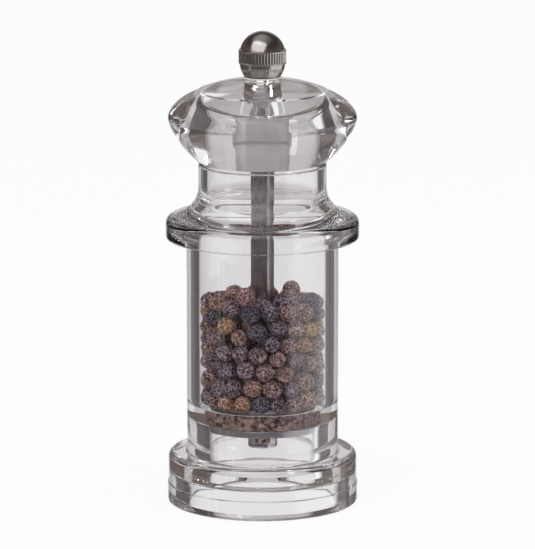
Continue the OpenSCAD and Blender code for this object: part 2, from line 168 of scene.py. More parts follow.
class MeshMaker:
    """Builds Blender objects from vertices and faces given in millimetres."""

    @staticmethod
    def build(name: str, verts: Sequence[Sequence[float]], faces: Sequence[Sequence[int]],
              sharp: float = 30.0) -> bpy.types.Object:
        """Makes one smooth-shaded object.

        Args:
            name: Name of the object and its mesh.
            verts: Vertex positions in millimetres.
            faces: Vertex indices of each face.
            sharp: Angle in degrees above which an edge stays sharp.

        Returns:
            The new object, linked to the scene.
        """
        mesh = bpy.data.meshes.new(name)
        mesh.from_pydata([tuple(c * MM for c in v) for v in verts], [], faces)
        work = bmesh.new()
        work.from_mesh(mesh)
        bmesh.ops.recalc_face_normals(work, faces=work.faces)
        work.to_mesh(mesh)
        work.free()
        mesh.polygons.foreach_set("use_smooth", [True] * len(mesh.polygons))
        mesh.set_sharp_from_angle(angle=math.radians(sharp))
        mesh.update()
        piece = bpy.data.objects.new(name, mesh)
        bpy.context.scene.collection.objects.link(piece)
        return piece

    @staticmethod
    def lathe(name: str, outline: Sequence[Point], steps: int = 224,
              shape: Callable[[float, float, float], float] | None = None,
              sharp: float = 30.0) -> bpy.types.Object:
        """Turns a closed outline round the Z axis.

        Args:
            name: Name of the piece.
            outline: Radius and height of each corner, in order round the outline.
            steps: Steps round the axis.
            shape: Optional change of radius, given radius, height and angle.
            sharp: Angle in degrees above which an edge stays sharp.

        Returns:
            The turned piece.
        """
        verts: list[tuple[float, float, float]] = []
        rings: list[list[int]] = []
        for radius, height in outline:
            if radius < ON_AXIS:
                rings.append([len(verts)])
                verts.append((0.0, 0.0, height))
                continue
            ring = []
            for i in range(steps):
                angle = FULL_TURN * i / steps
                r = shape(radius, height, angle) if shape else radius
                ring.append(len(verts))
                verts.append((r * math.cos(angle), r * math.sin(angle), height))
            rings.append(ring)
        faces: list[tuple[int, ...]] = []
        for low, high in zip(rings, rings[1:] + rings[:1]):
            if len(low) == 1 and len(high) == 1:
                continue
            for i in range(steps):
                j = (i + 1) % steps
                if len(low) == 1:
                    faces.append((low[0], high[i], high[j]))
                elif len(high) == 1:
                    faces.append((low[j], low[i], high[0]))
                else:
                    faces.append((low[j], low[i], high[i], high[j]))
        return MeshMaker.build(name, verts, faces, sharp)

    @staticmethod
    def prism(name: str, outline: Sequence[Point], levels: Sequence[tuple[float, float]],
              turn: float = 0.0, sharp: float = 30.0) -> bpy.types.Object:
        """Stacks copies of a flat outline, each scaled, into a closed bar.

        Args:
            name: Name of the piece.
            outline: Corners of the cross-section in millimetres.
            levels: Height and inset of each copy, from the bottom up.
            turn: Turn of the section about the Z axis, in degrees.
            sharp: Angle in degrees above which an edge stays sharp.

        Returns:
            The bar.
        """
        cos_t, sin_t = math.cos(math.radians(turn)), math.sin(math.radians(turn))
        size = max(max(abs(x), abs(y)) for x, y in outline)
        count = len(outline)
        verts: list[tuple[float, float, float]] = []
        for height, inset in levels:
            scale = (size - inset) / size
            for x, y in outline:
                verts.append(((x * cos_t - y * sin_t) * scale, (x * sin_t + y * cos_t) * scale, height))
        faces = [tuple(range(count - 1, -1, -1)),
                 tuple(range((len(levels) - 1) * count, len(levels) * count))]
        for level in range(len(levels) - 1):
            for i in range(count):
                j = (i + 1) % count
                a, b = level * count, (level + 1) * count
                faces.append((a + i, a + j, b + j, b + i))
        return MeshMaker.build(name, verts, faces, sharp)


def sink_waves(piece: bpy.types.Object, depth: float, length: float, rise: float = 0.4) -> None:
    """Sinks faint waves into a moulded surface, as shrinkage leaves them.

    Args:
        piece: The piece, whose surface only ever moves inwards.
        depth: Deepest wave in millimetres.
        length: Length of a wave round the piece in millimetres.
        rise: Waves up the piece for each wave as long round it.
    """
    mesh = piece.data
    moved = np.empty(len(mesh.vertices) * 3)
    mesh.vertices.foreach_get("co", moved)
    moved = moved.reshape(-1, 3)
    scale = 1.0 / (length * MM)
    for i, vertex in enumerate(mesh.vertices):
        x, y, z = vertex.co
        wave = noise.noise(Vector((x * scale, y * scale, z * scale * rise)))
        moved[i] -= np.array(vertex.normal) * depth * MM * (0.5 + 0.5 * wave)
    mesh.vertices.foreach_set("co", moved.ravel())
    mesh.update()


# --------------------------------------------------------------------------
# Finishes
# --------------------------------------------------------------------------

@dataclass(frozen=True)
class Edge:
    """Soft edge between two levels, laid over some value.

    The level is `before` where the value is under `start` and `after` where
    it is over `end`.
    """

    start: float
    end: float
    before: float = 0.0
    after: float = 1.0


class NodeBoard:
    """Short calls for building a node tree, for a material or the surround."""

    def __init__(self, tree: bpy.types.NodeTree) -> None:
        """Keeps the tree that the nodes are added to."""
        self.tree = tree

    def add(self, kind: str, **settings: object) -> bpy.types.Node:
        """Adds a node and sets its attributes.

        Args:
            kind: Node type without its "ShaderNode" prefix.
            **settings: Attributes of the node.

        Returns:
            The new node.
        """
        node = self.tree.nodes.new("ShaderNode" + kind)
        for key, value in settings.items():
            setattr(node, key, value)
        return node

    def link(self, source: Socket, target: Socket) -> None:
        """Links two sockets."""
        self.tree.links.new(source, target)

    def feed(self, target: Socket, value: Socket | float | tuple[float, ...]) -> None:
        """Links a socket to another one, or sets it to a number or a colour.

        Args:
            target: Socket that is set.
            value: Socket to link it to, or the number or colour to set.
        """
        if isinstance(value, bpy.types.NodeSocket):
            self.link(value, target)
        else:
            target.default_value = value

    def math(self, operation: str, *values: Socket | float) -> Socket:
        """Result of a Math node over sockets or numbers.

        Args:
            operation: The Math node's operation.
            *values: Its inputs in order.

        Returns:
            The result.
        """
        node = self.add("Math", operation=operation)
        for target, value in zip(node.inputs, values):
            self.feed(target, value)
        return node.outputs["Value"]

    def combine(self, operation: str, first: Socket, *others: Socket | float) -> Socket:
        """Runs a Math node along a row of values, such as a product of them all.

        Args:
            operation: The Math node's operation.
            first: First value of the row.
            *others: The values that follow.

        Returns:
            The result over the whole row.
        """
        result = first
        for other in others:
            result = self.math(operation, result, other)
        return result

    def fade(self, value: Socket, edge: Edge) -> Socket:
        """Level that an edge gives along a value, with a smooth step between.

        Args:
            value: Value that the edge is laid over.
            edge: Where the levels give way, and the levels.

        Returns:
            The level.
        """
        node = self.add("MapRange", interpolation_type="SMOOTHSTEP")
        self.link(value, node.inputs["Value"])
        for name, number in (("From Min", edge.start), ("From Max", edge.end),
                             ("To Min", edge.before), ("To Max", edge.after)):
            node.inputs[name].default_value = number
        return node.outputs["Result"]

    def blend(self, share: Socket, first: Socket, second: Socket) -> Socket:
        """Mixes two values.

        Args:
            share: How much of the second value is taken.
            first: Value at a share of 0.
            second: Value at a share of 1.

        Returns:
            The mixed value.
        """
        node = self.add("Mix", data_type="FLOAT")
        self.link(share, node.inputs["Factor"])
        self.link(first, node.inputs["A"])
        self.link(second, node.inputs["B"])
        return node.outputs["Result"]

    def layer(self, share: Socket, under: Socket, over: Socket | tuple[float, ...]) -> Socket:
        """Lays one colour over another.

        Args:
            share: How much of the upper colour covers the lower one.
            under: The lower colour.
            over: The upper colour, as a socket or plain numbers.

        Returns:
            The mixed colour.
        """
        node = self.add("Mix", data_type="RGBA")
        self.link(share, node.inputs["Factor"])
        self.link(under, node.inputs["A"])
        self.feed(node.inputs["B"], over)
        return node.outputs["Result"]

    def ramp(self, source: Socket, stops: Sequence[tuple[float, Rgb]]) -> Socket:
        """Colour ramp over a value.

        Args:
            source: Value that drives the ramp.
            stops: Position and colour of each stop.

        Returns:
            The ramp's colour output.
        """
        node = self.add("ValToRGB")
        points = node.color_ramp.elements
        while len(points) < len(stops):
            points.new(0.5)
        for point, (place, colour) in zip(points, stops):
            point.position = place
            point.color = (*colour, 1.0)
        self.link(source, node.inputs["Fac"])
        return node.outputs["Color"]


class Shader(NodeBoard):
    """A material built round one Principled shader."""

    def __init__(self, name: str) -> None:
        """Makes the material with its Principled shader and output.

        Args:
            name: Name of the material.
        """
        self.material = bpy.data.materials.new(name)
        self.material.use_nodes = True
        super().__init__(self.material.node_tree)
        self.surface = self.tree.nodes["Principled BSDF"]
        self.output = self.tree.nodes["Material Output"]

    def set(self, **values: object) -> None:
        """Sets sockets of the Principled shader, with spaces written as underscores."""
        for key, value in values.items():
            self.surface.inputs[key.replace("_", " ")].default_value = value

    def position(self, stretch: tuple[float, float, float] = (1.0, 1.0, 1.0)) -> Socket:
        """Object coordinates stretched by a factor on each axis.

        Args:
            stretch: Factor on each axis.

        Returns:
            The stretched place.
        """
        coords = self.add("TexCoord")
        mapping = self.add("Mapping")
        mapping.inputs["Scale"].default_value = stretch
        self.link(coords.outputs["Object"], mapping.inputs["Vector"])
        return mapping.outputs["Vector"]

    def noise(self, where: Socket, scale: float, detail: float = 4.0, roughness: float = 0.5) -> Socket:
        """Noise value at a scale in features a metre.

        Args:
            where: Place that the noise is read at.
            scale: Features in a metre.
            detail: Layers of finer noise.
            roughness: Strength of each finer layer.

        Returns:
            The noise, mostly between 0.3 and 0.7.
        """
        node = self.add("TexNoise")
        node.inputs["Scale"].default_value = scale
        node.inputs["Detail"].default_value = detail
        node.inputs["Roughness"].default_value = roughness
        self.link(where, node.inputs["Vector"])
        return node.outputs["Fac"]

    def spread(self, source: Socket, low: float, high: float) -> Socket:
        """Maps the middle of a noise value onto a range.

        Args:
            source: The noise.
            low: Result where the noise is low.
            high: Result where it is high.

        Returns:
            The mapped value.
        """
        node = self.add("MapRange")
        node.inputs["From Min"].default_value, node.inputs["From Max"].default_value = NOISE_MIDDLE
        node.inputs["To Min"].default_value = low
        node.inputs["To Max"].default_value = high
        self.link(source, node.inputs["Value"])
        return node.outputs["Result"]

    def bump(self, height: Socket, depth: float) -> None:
        """Bumps the surface by a height that runs from 0 to 1.

        Args:
            height: The height.
            depth: Depth of the bump in metres.
        """
        node = self.add("Bump")
        node.inputs["Strength"].default_value = 1.0
        node.inputs["Distance"].default_value = depth
        self.link(height, node.inputs["Height"])
        self.link(node.outputs["Normal"], self.surface.inputs["Normal"])


@dataclass(frozen=True)
class ClearPlastic:
    """Clear plastic, polished or slightly frosted; its waviness is in the mesh.

    Every value sits on the shader's own sockets, so the exported model keeps
    the plastic clear.
    """

    name: str
    tint: Rgb = (1.0, 1.0, 1.0)
    ior: float = 1.49
    roughness: float = 0.0
    clarity: float = 1.0

    def material(self) -> bpy.types.Material:
        """Builds the plastic's material.

        Returns:
            The material.
        """
        shader = Shader(self.name)
        shader.set(Base_Color=(*self.tint, 1.0), Roughness=self.roughness, IOR=self.ior,
                   Transmission_Weight=self.clarity)
        return shader.material


@dataclass(frozen=True)
class WorkedMetal:
    """Metal with a worked grain: turned, drawn, brushed or plated.

    The grain is noise stretched along the way the tool ran; a slower noise
    varies the tone and the gloss as handling does.
    """

    name: str
    light: Rgb
    dark: Rgb
    roughness: tuple[float, float]
    grain_scale: tuple[float, float, float] = (1.0, 1.0, 1.0)
    grain: float = 2600.0
    grain_depth: float = 2.0e-6
    metallic: float = 1.0
    mottle: float = 240.0
    patches: tuple[float, float] = (0.32, 0.68)

    def material(self) -> bpy.types.Material:
        """Builds the metal's material.

        Returns:
            The material.
        """
        shader = Shader(self.name)
        shader.set(Metallic=self.metallic)
        place = shader.position()
        tone = shader.noise(place, self.mottle, detail=5.0)
        colour = shader.ramp(tone, [(self.patches[0], self.dark), (self.patches[1], self.light)])
        shader.link(colour, shader.surface.inputs["Base Color"])
        streaks = shader.noise(shader.position(self.grain_scale), self.grain, detail=3.0)
        gloss = shader.spread(streaks, self.roughness[0], self.roughness[1])
        shader.link(gloss, shader.surface.inputs["Roughness"])
        shader.bump(streaks, self.grain_depth)
        return shader.material


@dataclass(frozen=True)
class Nylon:
    """Natural nylon: milky, slightly uneven and softly glossy."""

    name: str
    colour: Rgb = (0.82, 0.8, 0.76)
    dulling: float = 0.86
    mottle: float = 500.0
    patches: tuple[float, float] = (0.3, 0.7)
    roughness: float = 0.42
    grain: float = 4200.0
    grain_depth: float = 4.0e-6

    def material(self) -> bpy.types.Material:
        """Builds the nylon's material.

        Returns:
            The material.
        """
        shader = Shader(self.name)
        tone = shader.noise(shader.position(), self.mottle)
        dull = tuple(c * self.dulling for c in self.colour)
        colour = shader.ramp(tone, [(self.patches[0], dull), (self.patches[1], self.colour)])
        shader.link(colour, shader.surface.inputs["Base Color"])
        shader.set(Roughness=self.roughness, Subsurface_Weight=0.15, Subsurface_Scale=0.002)
        shader.bump(shader.noise(shader.position(), self.grain), self.grain_depth)
        return shader.material


@dataclass(frozen=True)
class PepperSkin:
    """Dried berry skin, with painted highlight on its ridges and painted shade, nearly black, in its
    folds.

    The mesh carries the tone of each berry, from black through brown to
    russet, and the height of its wrinkles. Each layer of the skin has its own
    colours along that tone: painted shade in the folds, the skin's own colour,
    and a pale painted highlight on the crests.
    """

    name: str = "peppercorn_skin"
    # painted shade: nearly black colours for the folds between the wrinkles
    fold_shade: Stops = ((0.0, (0.006, 0.004, 0.006)), (0.4, (0.012, 0.006, 0.007)),
                   (0.7, (0.03, 0.012, 0.01)), (1.0, (0.12, 0.05, 0.025)))
    skin: Stops = ((0.0, (0.02, 0.017, 0.03)), (0.2, (0.08, 0.05, 0.07)), (0.45, (0.17, 0.08, 0.085)),
                   (0.68, (0.26, 0.115, 0.08)), (0.85, (0.42, 0.2, 0.09)), (1.0, (0.62, 0.36, 0.15)))
    # painted highlight: pale colours for the crests of the wrinkles, over the skin's own brown
    crest: Stops = ((0.0, (0.32, 0.28, 0.38)), (0.2, (0.62, 0.5, 0.58)), (0.45, (0.88, 0.62, 0.6)),
                    (0.68, (0.97, 0.64, 0.5)), (0.85, (1.0, 0.7, 0.42)), (1.0, (1.0, 0.84, 0.52)))
    skin_over_fold_shade: Edge = Edge(-0.08, 0.24)
    crest_highlight_over_skin: Edge = Edge(0.4, 0.86)
    coarse_net: float = 900.0
    fine_net: float = 1800.0
    coarse_height: float = 0.62
    fine_height: float = 0.34
    ridge_height: float = 0.4
    grain: float = 2600.0
    grain_height: tuple[float, float] = (-0.42, 0.16)
    roughness: tuple[float, float] = (0.42, 0.7)
    gloss: float = 0.4
    relief: float = 3.0e-4
    crest_fall: Edge = Edge(0.0, 0.17, 1.0, 0.0)
    bend_scale: float = 0.9
    bend: float = 1.7

    def material(self) -> bpy.types.Material:
        """Builds the skin's material.

        Returns:
            The material.
        """
        shader = Shader(self.name)
        tone = shader.add("Attribute", attribute_name="tone").outputs["Fac"]
        grain = shader.noise(shader.position(), self.grain, detail=5.0, roughness=0.62)
        height = self.height(shader, grain)
        # painted shade in the folds first, then the skin's own colour and the painted crest highlight laid
        # over it by wrinkle height
        colour = shader.ramp(tone, self.fold_shade)
        for stops, edge in ((self.skin, self.skin_over_fold_shade), (self.crest, self.crest_highlight_over_skin)):
            colour = shader.layer(shader.fade(height, edge), colour, shader.ramp(tone, stops))
        shader.link(colour, shader.surface.inputs["Base Color"])
        shader.link(shader.spread(grain, *self.roughness), shader.surface.inputs["Roughness"])
        shader.set(Specular_IOR_Level=self.gloss)
        shader.bump(height, self.relief)
        return shader.material

    def height(self, shader: Shader, grain: Socket) -> Socket:
        """Height of the skin from its nets of wrinkles, the mesh's ridges and the grain.

        Args:
            shader: The material's shader.
            grain: Noise of the finest grain.

        Returns:
            The height, about 0 in the folds and 1 on the crests.
        """
        ridge = shader.add("Attribute", attribute_name="ridge").outputs["Fac"]
        fine = shader.math("MULTIPLY", self.wrinkles(shader, self.fine_net), self.fine_height)
        net = shader.math("MULTIPLY_ADD", self.wrinkles(shader, self.coarse_net), self.coarse_height, fine)
        return shader.combine("ADD", net, shader.math("MULTIPLY", ridge, self.ridge_height),
                              shader.spread(grain, *self.grain_height))

    def wrinkles(self, shader: Shader, scale: float) -> Socket:
        """Raised net of wrinkles, 1 on its crests and 0 in the hollows between.

        Args:
            shader: The material's shader.
            scale: Meshes of the net in a metre.

        Returns:
            The height.
        """
        place = shader.position()
        bend = shader.add("TexNoise")
        bend.inputs["Scale"].default_value = scale * self.bend_scale
        bend.inputs["Detail"].default_value = 2.0
        shader.link(place, bend.inputs["Vector"])
        shift = shader.add("VectorMath", operation="SCALE")
        shift.inputs["Scale"].default_value = self.bend / scale
        shader.link(bend.outputs["Color"], shift.inputs[0])
        moved = shader.add("VectorMath", operation="ADD")
        shader.link(place, moved.inputs[0])
        shader.link(shift.outputs["Vector"], moved.inputs[1])
        cells = shader.add("TexVoronoi", feature="DISTANCE_TO_EDGE")
        cells.inputs["Scale"].default_value = scale
        shader.link(moved.outputs["Vector"], cells.inputs["Vector"])
        return shader.fade(cells.outputs["Distance"], self.crest_fall)


@dataclass(frozen=True)
class Finishes:
    """Every finish on the mill, made once and shared by the pieces."""

    acrylic: bpy.types.Material
    bush: bpy.types.Material
    knob: bpy.types.Material
    spindle: bpy.types.Material
    grinder: bpy.types.Material
    plate: bpy.types.Material
    fastener: bpy.types.Material
    spring: bpy.types.Material
    nylon: bpy.types.Material
    pepper: bpy.types.Material

    @classmethod
    def make(cls) -> "Finishes":
        """Builds the mill's materials.

        Returns:
            All of them, ready to put on the pieces.
        """
        drawn = (1.0, 1.0, 0.02)
        return cls(
            acrylic=ClearPlastic("clear_acrylic", tint=(0.962, 0.952, 0.96)).material(),
            bush=ClearPlastic("clear_bush_plastic", tint=(0.9, 0.88, 0.9), ior=1.53,
                              roughness=0.3, clarity=0.74).material(),
            knob=WorkedMetal("polished_stainless", light=(0.6, 0.565, 0.55), dark=(0.46, 0.43, 0.42),
                             roughness=(0.13, 0.25), grain_scale=(1.0, 1.0, 4.0), grain=1100.0,
                             grain_depth=2.6e-6).material(),
            spindle=WorkedMetal("drawn_aluminium", light=(0.74, 0.72, 0.73), dark=(0.52, 0.5, 0.51),
                                roughness=(0.22, 0.34), grain_scale=drawn, grain=3200.0,
                                grain_depth=3.0e-6).material(),
            grinder=WorkedMetal("peppered_steel", light=(0.55, 0.37, 0.32), dark=(0.03, 0.017, 0.02),
                                roughness=(0.45, 0.7), grain=1500.0, grain_depth=9.0e-5,
                                metallic=0.1, mottle=880.0, patches=(0.38, 0.66)).material(),
            plate=WorkedMetal("zinc_plate", light=(0.56, 0.53, 0.57), dark=(0.42, 0.4, 0.44),
                              roughness=(0.34, 0.5), grain_scale=(1.0, 1.0, 12.0), grain=1500.0,
                              grain_depth=5.0e-6, metallic=0.85).material(),
            fastener=WorkedMetal("bright_zinc", light=(0.7, 0.69, 0.71), dark=(0.56, 0.55, 0.57),
                                 roughness=(0.24, 0.38), grain_scale=(1.0, 1.0, 5.0), grain=1400.0,
                                 grain_depth=4.0e-6).material(),
            spring=WorkedMetal("spring_wire", light=(0.6, 0.6, 0.62), dark=(0.44, 0.44, 0.46),
                               roughness=(0.22, 0.34), grain_scale=drawn,
                               grain_depth=3.0e-6).material(),
            nylon=Nylon("natural_nylon").material(),
            pepper=PepperSkin().material(),
        )


def dress(piece: bpy.types.Object, material: bpy.types.Material) -> None:
    """Gives a piece its finish in place of any that it had."""
    piece.data.materials.clear()
    piece.data.materials.append(material)


def dress_node(node: str, material: bpy.types.Material) -> None:
    """Gives a CAD node that is shown as it is its finish.

    Args:
        node: Name of the CAD node.
        material: Its material.
    """
    dress(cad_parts[node], material)
    log.info("%s: shown as in the CAD model, finished in %s", node, material.name)


def finish_piece(piece: bpy.types.Object, material: bpy.types.Material, body: Body,
                 slot: Slot, *nodes: str) -> bpy.types.Object:
    """Gives a piece its finish and its body, and hides the CAD nodes that it stands for.

    Args:
        piece: The object to finish.
        material: Its material.
        body: Body that it rides on.
        slot: The record's material slot; not used.
        *nodes: CAD nodes that it stands for.

    Returns:
        The same piece.
    """
    dress(piece, material)
    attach(piece, body.value)
    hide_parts(*nodes)
    log.info("%s: %d faces, rides on %s", piece.name, len(piece.data.polygons), body.value)
    return piece


def finish_between(piece: bpy.types.Object, material: bpy.types.Material, below: Body,
                   above: Body, low_z: float, high_z: float, slot: Slot,
                   *nodes: str) -> bpy.types.Object:
    """Gives its finish to a piece that sits between two bodies, such as a spring, and bakes its place into
    its mesh.

    Args:
        piece: The object to finish.
        material: Its material.
        below: Body under its lower end; only named in the log.
        above: Body over its upper end; only named in the log.
        low_z: Height of its lower end in millimetres; not used.
        high_z: Height of its upper end in millimetres; not used.
        slot: The record's material slot; not used.
        *nodes: CAD nodes that it stands for.

    Returns:
        The same piece.
    """
    dress(piece, material)
    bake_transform(piece)
    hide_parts(*nodes)
    log.info("%s: %d faces, between %s and %s", piece.name, len(piece.data.polygons),
             below.value, above.value)
    return piece


# --------------------------------------------------------------------------
# Acrylic shells
# --------------------------------------------------------------------------

@dataclass
class AcrylicBody:
    """Barrel and base, cemented into one clear piece.

    Their joint shows only as the fine groove round the foot, so both are one
    mesh: two surfaces there would read as a layer of air.
    """

    barrel_r: float = 22.35
    chamber_r: float = 18.75
    neck_r: float = 18.8
    neck_bore_r: float = 16.3
    top_z: float = 100.7
    lip_r: float = 17.2
    lip_h: float = 1.4
    step_top_z: float = 88.5
    step_h: float = 3.2
    step_soft_top: float = 0.08
    step_soft_foot: float = 0.1
    collar_r: float = 28.4
    collar_bottom_z: float = 78.9
    collar_top_z: float = 83.3
    collar_round: float = 2.2
    collar_under_round: float = 0.8
    flare_r: float = 9.0
    foot_r: float = 27.8
    foot_z: float = 14.9
    foot_round: float = 1.8
    flange_r: float = 28.05
    flange_z: float = 5.7
    floor_z: float = 29.4
    floor_under_z: float = 24.4
    recess_r: float = 15.65
    hollow_r: float = 21.7
    hollow_z: float = 8.0
    hollow_bevel: float = 0.8
    ring_seat_r: float = 11.22
    groove: float = 0.18
    edge: float = 0.3
    bevel: float = 0.2
    fine_bevel: float = 0.15
    corner: float = 0.5
    fillet: float = 0.7
    mesh_step: float = 1.2
    wave_depth: float = 0.016
    wave_length: float = 4.5

    def outline(self) -> list[Point]:
        """Closed outline of the cemented barrel and base, from the hollow round and back."""
        return self.foot() + self.collar() + self.neck() + self.bore_step() + self.floor()

    def foot(self) -> list[Point]:
        """Wide hollow of the underside, flange, the cemented joint's groove and the foot.

        Returns:
            Points from the hollow round to the top of the foot.
        """
        c, t, g = self.corner, self.bevel, self.groove
        points: list[Point] = [(self.recess_r, self.hollow_z + t), (self.recess_r + t, self.hollow_z)]
        points += arc((self.hollow_r - c, self.hollow_z - c), c, 90, 0, 5)
        points += [(self.hollow_r, self.hollow_bevel), (self.hollow_r + self.hollow_bevel, 0.0)]
        points += arc((self.flange_r - c, c), c, 270, 360, 5)
        points += [(self.flange_r, self.flange_z - g), (self.foot_r - g, self.flange_z),
                   (self.foot_r, self.flange_z + g)]
        points += arc((self.foot_r - self.foot_round, self.foot_z - self.foot_round),
                      self.foot_round, 0, 90, 10)
        return points

    def collar(self) -> list[Point]:
        """Barrel's outside up to the collar, and the collar with the flare over it.

        Returns:
            Points from the foot up to the neck.
        """
        core = self.collar_r - self.collar_round
        flare_x = self.neck_r + self.flare_r
        reach = self.flare_r + self.collar_round
        flare_z = self.collar_top_z + math.sqrt(reach ** 2 - (flare_x - core) ** 2)
        lean = math.degrees(math.atan2(flare_z - self.collar_top_z, flare_x - core))
        e, f, u = self.edge, self.fillet, self.collar_under_round
        points = arc((self.barrel_r + f, self.foot_z + f), f, 270, 180, 5)
        points += arc((self.barrel_r + e, self.collar_bottom_z - e), e, 180, 90, 4)
        points += arc((self.collar_r - u, self.collar_bottom_z + u), u, 270, 360, 7)
        points += arc((core, self.collar_top_z), self.collar_round, 0, lean, 12)
        points += arc((flare_x, flare_z), self.flare_r, lean + 180, 180, 24)
        return points

    def neck(self) -> list[Point]:
        """Neck's top edge, the lip that centres the head, and the mouth of the bore.

        Returns:
            Points from the neck over its lip and into the bore.
        """
        t, fine, lip_z = self.bevel, self.fine_bevel, self.top_z + self.lip_h
        return [(self.neck_r, self.top_z - fine), (self.neck_r - fine, self.top_z),
                (self.lip_r, self.top_z), (self.lip_r, lip_z - t), (self.lip_r - t, lip_z),
                (self.neck_bore_r + t, lip_z), (self.neck_bore_r, lip_z - t)]

    def bore_step(self) -> list[Point]:
        """The rounded step where the neck bore opens into the chamber.

        Returns:
            Points down the step.
        """
        low = self.step_top_z - self.step_h
        return [(self.neck_bore_r, self.step_top_z + 2.0 * self.bevel),
                (self.neck_bore_r + self.step_soft_top, self.step_top_z),
                (self.chamber_r - self.step_soft_foot, low + self.bevel),
                (self.chamber_r, low - self.bevel)]

    def floor(self) -> list[Point]:
        """Chamber floor, the seat of the grinding ring, and the hollow under it.

        Returns:
            Points from the chamber's wall down to the hollow.
        """
        e = self.edge
        points = arc((self.chamber_r - e, self.floor_z + e), e, 360, 270, 4)
        points += [(self.ring_seat_r, self.floor_z), (self.ring_seat_r, self.floor_under_z)]
        points += arc((self.recess_r - e, self.floor_under_z - e), e, 90, 0, 4)
        return points

    def build(self, finishes: Finishes) -> bpy.types.Object:
        """Builds the piece and finishes it.

        Args:
            finishes: Every finish on the mill.

        Returns:
            The piece.
        """
        piece = MeshMaker.lathe("acrylic_barrel_and_base", subdivided(self.outline(), self.mesh_step))
        sink_waves(piece, self.wave_depth, self.wave_length)
        return finish_piece(piece, finishes.acrylic, Body.MILL, Slot.ACRYLIC, "barrel", "base")


@dataclass
class AcrylicHead:
    """Turned head: a wide bulb with a crease, a shallow dome and a cavity."""

    bottom_z: float = 100.8
    rim_r: float = 18.8
    rim_h: float = 1.0
    bulb_r: float = 27.7
    waist_z: float = 114.6
    crease_r: float = 19.0
    crease_z: float = 122.7
    ledge: float = 0.35
    dome_in: float = 0.25
    seat_z: float = 126.3
    hole_r: float = 3.1
    bore_r: float = 4.73
    bore_top_z: float = 121.6
    ceiling_z: float = 114.8
    cavity_r: float = 16.6
    cavity_round: float = 1.6
    rebate_r: float = 17.28
    rebate_z: float = 102.2
    upper_ease: float = 1.15
    lower_ease: float = 1.4
    bevel: float = 0.2
    rim_bevel: float = 0.15
    rebate_bevel: float = 0.1
    steps: int = 256
    mesh_step: float = 0.8
    wave_depth: float = 0.05
    wave_length: float = 4.5

    def outline(self) -> list[Point]:
        """Closed outline of the head, from its rim up and round."""
        return self.outside() + self.inside()

    def outside(self) -> list[Point]:
        """Rim, bulb, crease and dome, up to the hole for the spindle's stud.

        Returns:
            Points from the rim up to the stud's hole.
        """
        core = self.bulb_r / 2.0
        lower = eased_curve(core, self.bulb_r, self.waist_z,
                            self.bottom_z + self.rim_h - self.waist_z, self.rim_r, self.lower_ease)
        upper = eased_curve(core, self.bulb_r, self.waist_z,
                            self.crease_z - self.ledge - self.waist_z, self.crease_r, self.upper_ease)
        drop = self.seat_z - self.crease_z
        dome_r = (self.crease_r ** 2 + drop ** 2) / (2.0 * drop)
        dome = [(r, self.seat_z - dome_r + math.sqrt(dome_r ** 2 - r ** 2))
                for r in np.linspace(self.crease_r - self.dome_in, self.hole_r + self.bevel, 14)]
        rim: list[Point] = [(self.rebate_r + self.rebate_bevel, self.bottom_z),
                            (self.rim_r - self.rim_bevel, self.bottom_z),
                            (self.rim_r, self.bottom_z + self.rim_bevel)]
        return rim + lower[::-1] + upper[1:] + dome

    def inside(self) -> list[Point]:
        """Stud's hole, the bush's bore, the cavity and the rebate over the barrel's lip.

        Returns:
            Points down the stud's hole to the rebate.
        """
        t, n = self.bevel, self.rebate_bevel
        points: list[Point] = [(self.hole_r, self.seat_z - t), (self.hole_r, self.bore_top_z + t),
                               (self.bore_r, self.bore_top_z), (self.bore_r, self.ceiling_z)]
        points += arc((self.cavity_r - self.cavity_round, self.ceiling_z - self.cavity_round),
                      self.cavity_round, 90, 0, 14)
        points += [(self.cavity_r, self.rebate_z + n), (self.cavity_r + n, self.rebate_z),
                   (self.rebate_r, self.rebate_z), (self.rebate_r, self.bottom_z + n)]
        return points

    def build(self, finishes: Finishes) -> bpy.types.Object:
        """Builds the piece and finishes it.

        Args:
            finishes: Every finish on the mill.

        Returns:
            The piece.
        """
        piece = MeshMaker.lathe("acrylic_head", subdivided(self.outline(), self.mesh_step), self.steps)
        sink_waves(piece, self.wave_depth, self.wave_length)
        return finish_piece(piece, finishes.acrylic, Body.HEAD, Slot.ACRYLIC, "head")


# --------------------------------------------------------------------------
# Turning pieces
# --------------------------------------------------------------------------

@dataclass
class SquareBar:
    """Cross-section of the spindle: a square with softened corners."""

    across: float = 5.4
    corner: float = 0.3
    turn: float = -22.0

    def section(self, across: float | None = None) -> list[Point]:
        """Corners of the section, each rounded in three steps.

        Args:
            across: Distance across the flats, the bar's own where none is given.

        Returns:
            The corners in order.
        """
        half = (across or self.across) / 2.0 - self.corner
        points: list[Point] = []
        for quarter, (sx, sy) in enumerate(((1, 1), (-1, 1), (-1, -1), (1, -1))):
            points += [(sx * half + self.corner * math.cos(math.radians(a)),
                        sy * half + self.corner * math.sin(math.radians(a)))
                       for a in np.linspace(90.0 * quarter, 90.0 * quarter + 90.0, 4)]
        return points


